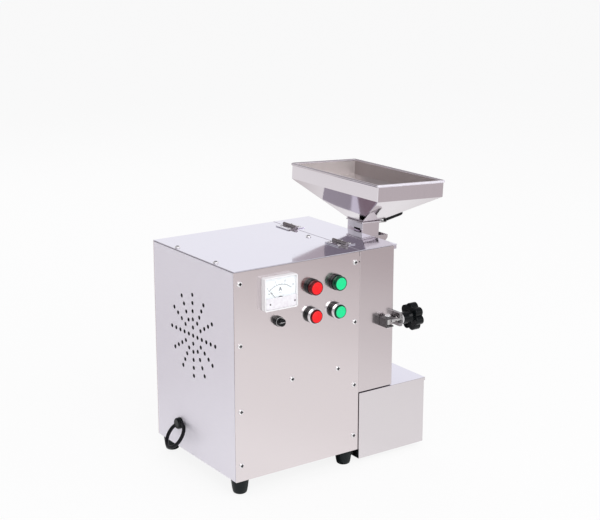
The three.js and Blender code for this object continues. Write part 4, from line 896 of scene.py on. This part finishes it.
def lettered(words, size, x, z, weight=0.0):
    """Plain printed characters, centred on a place of the dial."""
    text = bpy.data.curves.new("words", "FONT")
    text.body = words
    text.size = size
    text.align_x = "CENTER"
    text.align_y = "CENTER"
    text.extrude = 0.04
    text.offset = weight
    before = len(printed.verts)
    pour(printed, placed("words", text))
    printed.verts.ensure_lookup_table()
    fresh = printed.verts[before:]
    set_at(printed, fresh, facings["front"], (x, -7.92, z))


scale_end = 42
scale_radius = 31.4
for angle in range(-scale_end, scale_end, 3):
    stroke(on_dial(angle, scale_radius), on_dial(angle + 3, scale_radius), 0.75)
for tick in range(16):
    angle = -scale_end + 5.6 * tick
    stroke(on_dial(angle, scale_radius), on_dial(angle, 34.2 if tick % 5 == 0 else 32.9), 0.45)
for tick, number in enumerate(("0", "5", "10", "15")):
    lettered(number, 4.6, *on_dial(-scale_end + 28 * tick, 37.4))
lettered("A", 8.5, meter_x, 321.3, 0.3)
stroke((81.0, 315.8), (85.6, 315.8), 0.5)
stroke((61.5, 315.0), (61.5, 316.8), 1.8)
fixed_on(made("dial_print", printed, dial_ink), "casing")

needle = turned([(0, 8.1), (2.6, 8.1), (2.6, 9.0), (2.0, 9.4), (0, 9.4)], steps=28)
block(needle, (-0.14, 1, 8.3), (0.14, 34, 8.7))
spade = block(needle, (-0.8, 24, 8.25), (0.8, 28, 8.75))
for vert in spade:
    if vert.co.y > 25:
        vert.co.x *= 0.3
bmesh.ops.rotate(needle, cent=Vector(), matrix=facings["front"], verts=needle.verts)
at_zero = Matrix.Rotation(math.radians(-scale_end), 3, "Y")
set_at(needle, needle.verts, at_zero, (meter_x, 0, pivot_z))
fixed_on(made("meter_pointer", needle, black_moulding), "needle", ["meter_needle"], sharp=30)

arch = bmesh.new()
arch_turns = [math.radians(degrees) for degrees in range(15, 166, 10)]
arch_path = [(meter_x + 6.4 * math.cos(turn), -9.0, 303.8 + 5.4 * math.sin(turn)) for turn in arch_turns]
rolled(arch, arch_path, 0.9)
fixed_on(made("movement_arch", arch, black_moulding), "casing", sharp=50)

clear_window, tree, surface = shader_of("clear_window", (0.96, 0.98, 1.0), 0.04)
surface.inputs["Alpha"].default_value = 0.07
speckle(tree, surface, 300, 0.03, 0.07)
pane = bmesh.new()
block(pane, (54.1, -11.5, 309.2), (112.5, -10, 340.7))
fixed_on(made("meter_window", pane, clear_window), "casing", ["meter_lens"], 0.3)

frosted_cover = grained("frosted_cover", (0.88, 0.86, 0.89), 0.45, 0.0, (160, 0.35, 0.55, 0.2, 0.0003),
                        (0.80, 0.76, 0.81), (0.92, 0.91, 0.94))
cover = bmesh.new()
block(cover, (54.1, -11.7, 290.3), (112.5, -10, 308.9))
fixed_on(made("movement_cover", cover, frosted_cover), "casing", ["meter_lens"], 0.5, 3)
small_screw = screw_head(1.5, 0.3, 1.1)
small_screws = [(x, -11.7, 299) for x in (61.5, 109.5)]
fastened("cover_screws_small", small_screw, small_screws, "front", painted_reflection_steel, "casing")

# Pilot lamps
# A red and a green lamp. Each has a black collar against the panel and a ribbed
# lens whose flat face is brighter than its rim.


def glowing(name, colour, roughness, share):
    """Coloured clear moulding with a faint emission, which passes a little light from behind in the lamps and
    is a painted glow on the push buttons' caps.
    """
    finish, tree, surface = shader_of(name, colour, roughness)
    grain = speckle(tree, surface, 350, roughness * 0.8, roughness * 1.3, 0.04)
    tinted(tree, surface, grain, [tone * 0.9 for tone in colour], colour)
    surface.inputs["Emission Color"].default_value = (*colour, 1)
    surface.inputs["Emission Strength"].default_value = share
    surface.inputs["Specular IOR Level"].default_value = 0.3
    return finish


def ribbed(form, x, z, past, ribs, depth, front=-math.inf):
    """Ribs round a turned side that stands out from the panel, where it is wider than a radius."""
    for vert in form.verts:
        out = Vector((vert.co.x - x, 0, vert.co.z - z))
        if out.length > past and vert.co.y > front:
            rib = depth * math.cos(ribs * math.atan2(out.z, out.x))
            vert.co += out.normalized() * (rib - depth)


def face_apart(piece, face_middle, radius):
    """The flat front of the piece gets its second finish, out to a radius in metres."""
    for face in piece.data.polygons:
        out = face.center - face_middle
        face.material_index = 1 if abs(out.y) < 0.0004 and math.hypot(out.x, out.z) < radius else 0


lamp_z = 313
colours = {
    "stop": (151.3, "red_plastic", glowing("red_face", (0.95, 0.010, 0.014), 0.3, 0.18),
             glowing("red_rim_and_painted_shade", (0.13, 0.002, 0.004), 0.12, 0.0)),
    "start": (200.5, "green_plastic", glowing("green_face", (0.012, 0.72, 0.28), 0.3, 0.18),
              glowing("green_rim_and_painted_shade", (0.002, 0.07, 0.032), 0.12, 0.0)),
}
for name, (x, slot, face_finish, rim_and_painted_edge_shade) in colours.items():
    collar_profile = [(0, -24), (11, -24), (11, 0.3), (13.5, 0.3), (13.5, 5.6), (12.9, 6.5), (0, 6.5)]
    collar = made(f"{name}_lamp_collar", turned(collar_profile, (x, 0, lamp_z), "front"), black_moulding)
    fixed_on(collar, "casing", [f"{name}_lamp_body"], 0.3)
    lens_profile = [(0, 6.8), (12.4, 6.8), (12.4, 14.6), (11.7, 15.7), (10.8, 16), (10.2, 15.7), (0, 15.9)]
    lens = turned(lens_profile, (x, 0, lamp_z), "front", 96)
    ribbed(lens, x, lamp_z, 12.2, 32, 0.22, -14.5)
    lens_piece = made(f"{name}_lamp_cap", lens, rim_and_painted_edge_shade, face_finish)
    face_apart(lens_piece, at(x, -15.8, lamp_z), 0.0101)
    fixed_on(lens_piece, "casing", [f"{name}_lamp_lens"], sharp=40)

# Push buttons
# Flush push buttons of 22 mm fitting size: a black base ring, a bright chromed
# bezel, and a coloured cap that springs out inside it.
chrome = grained("chrome", (0.86, 0.86, 0.88), 0.15, 1.0, (200, 0.12, 0.18),
                 (0.82, 0.82, 0.84), (0.90, 0.90, 0.92))
button_z = 264
base_profile = [(0, -24), (11, -24), (11, 0.3), (13.5, 0.3), (13.5, 6.9), (12.6, 6.9), (12.6, 3), (0, 3)]
bezel_profile = [(11.7, 3.2), (12.5, 3.2), (12.5, 7.1), (13.5, 7.1), (13.5, 12), (13.2, 12.7),
                 (12.5, 13), (11.7, 12.6), (11.7, 3.2)]
cap_profile = [(0, 6.8), (11.2, 6.8), (11.2, 15.3), (10.8, 15.9), (10.3, 16), (9.8, 15.6), (0, 15.5)]
for name, (x, slot, face_finish, rim_and_painted_edge_shade) in colours.items():
    base = made(f"{name}_button_base", turned(base_profile, (x, 0, button_z), "front"), black_moulding)
    fixed_on(base, "casing", [f"{name}_button_body"], 0.3)
    bezel = made(f"{name}_button_bezel", turned(bezel_profile, (x, 0, button_z), "front", 64), chrome)
    fixed_on(bezel, "casing", [f"{name}_button_body"], 0.2)
    # The caps take the lamps' finishes: a faint painted glow on the face, and a darker rim that is painted
    # shade at the cap's edge.
    cap = turned(cap_profile, (x, 0, button_z), "front", 64)
    cap_piece = made(f"{name}_button_push", cap, rim_and_painted_edge_shade, face_finish)
    face_apart(cap_piece, at(x, -15.5, button_z), 0.0099)
    fixed_on(cap_piece, f"{name}_button", [f"{name}_button_cap"], sharp=40)

# Fuse holder
# A black bayonet fuse holder. Its slotted cap has a knurled side, a bright nickel strip
# in its slot stands as a painted highlight, and a thin nickel ring shows between the cap and the collar.
fuse_x = 84
fuse_z = 265
fuse_place = (fuse_x, 0, fuse_z)
holder = turned([(0, -26), (6, -26), (6, 0.3), (8.5, 0.3), (8.5, 4.2), (7.9, 5), (0, 5)], fuse_place, "front")
fixed_on(made("fuse_collar", holder, black_moulding), "casing", ["fuse_holder"], 0.2)
nickel = turned([(5, 5), (7.4, 5), (7.4, 5.26), (5, 5.26), (5, 5)], fuse_place, "front")
fixed_on(made("fuse_ring", nickel, screw_steel), "casing", sharp=30)
fuse = turned([(0, 5.3), (6.8, 5.3), (6.8, 12.9), (6.0, 13.8), (0, 13.8)], fuse_place, "front", 96)
ribbed(fuse, fuse_x, fuse_z, 6.7, 24, 0.16)
slot_cut = bmesh.new()
block(slot_cut, (fuse_x - 10, -15, fuse_z - 0.8), (fuse_x + 10, -11.8, fuse_z + 0.8))
fuse_knob = made("fuse_knob", carved(fuse, slot_cut), knob_gloss)
fixed_on(fuse_knob, "fuse_cap", ["fuse_cap"], sharp=40)
# A bright nickel strip at the slot's floor: a painted highlight in the slot.
highlight_strip = bmesh.new()
block(highlight_strip, (fuse_x - 4.6, -12.6, fuse_z - 0.7), (fuse_x + 4.6, -11.9, fuse_z + 0.7))
fixed_on(made("fuse_slot_painted_highlight", highlight_strip, screw_steel), "fuse_cap")

# Rails and receiving bin
# The meal falls into a drawer-like bin of mirror polished sheet with folded lips.
# It hangs by its side lips on two rails under the grinding head.
bin_steel = polished("bin_steel", (0.78, 0.74, 0.76), 0.12, 0.18, 0.25)
for side in ("front", "rear"):
    as_cut(f"{side}_rail", f"bin_rail_{side}", inner_steel, "casing", 0.3)
bin_sheet = as_cut("bin_sheet", "receiving_bin", bin_steel, "bin", 0.5)
bin_sheet.data.materials.append(cover_steel)
# Faces that look up take the brighter, bluer cover steel: painted light on the bin's top lips.
upper_half = at(0, 0, 100).z
for face in bin_sheet.data.polygons:
    face.material_index = 1 if face.normal.z > 0.9 and face.center.z > upper_half else 0
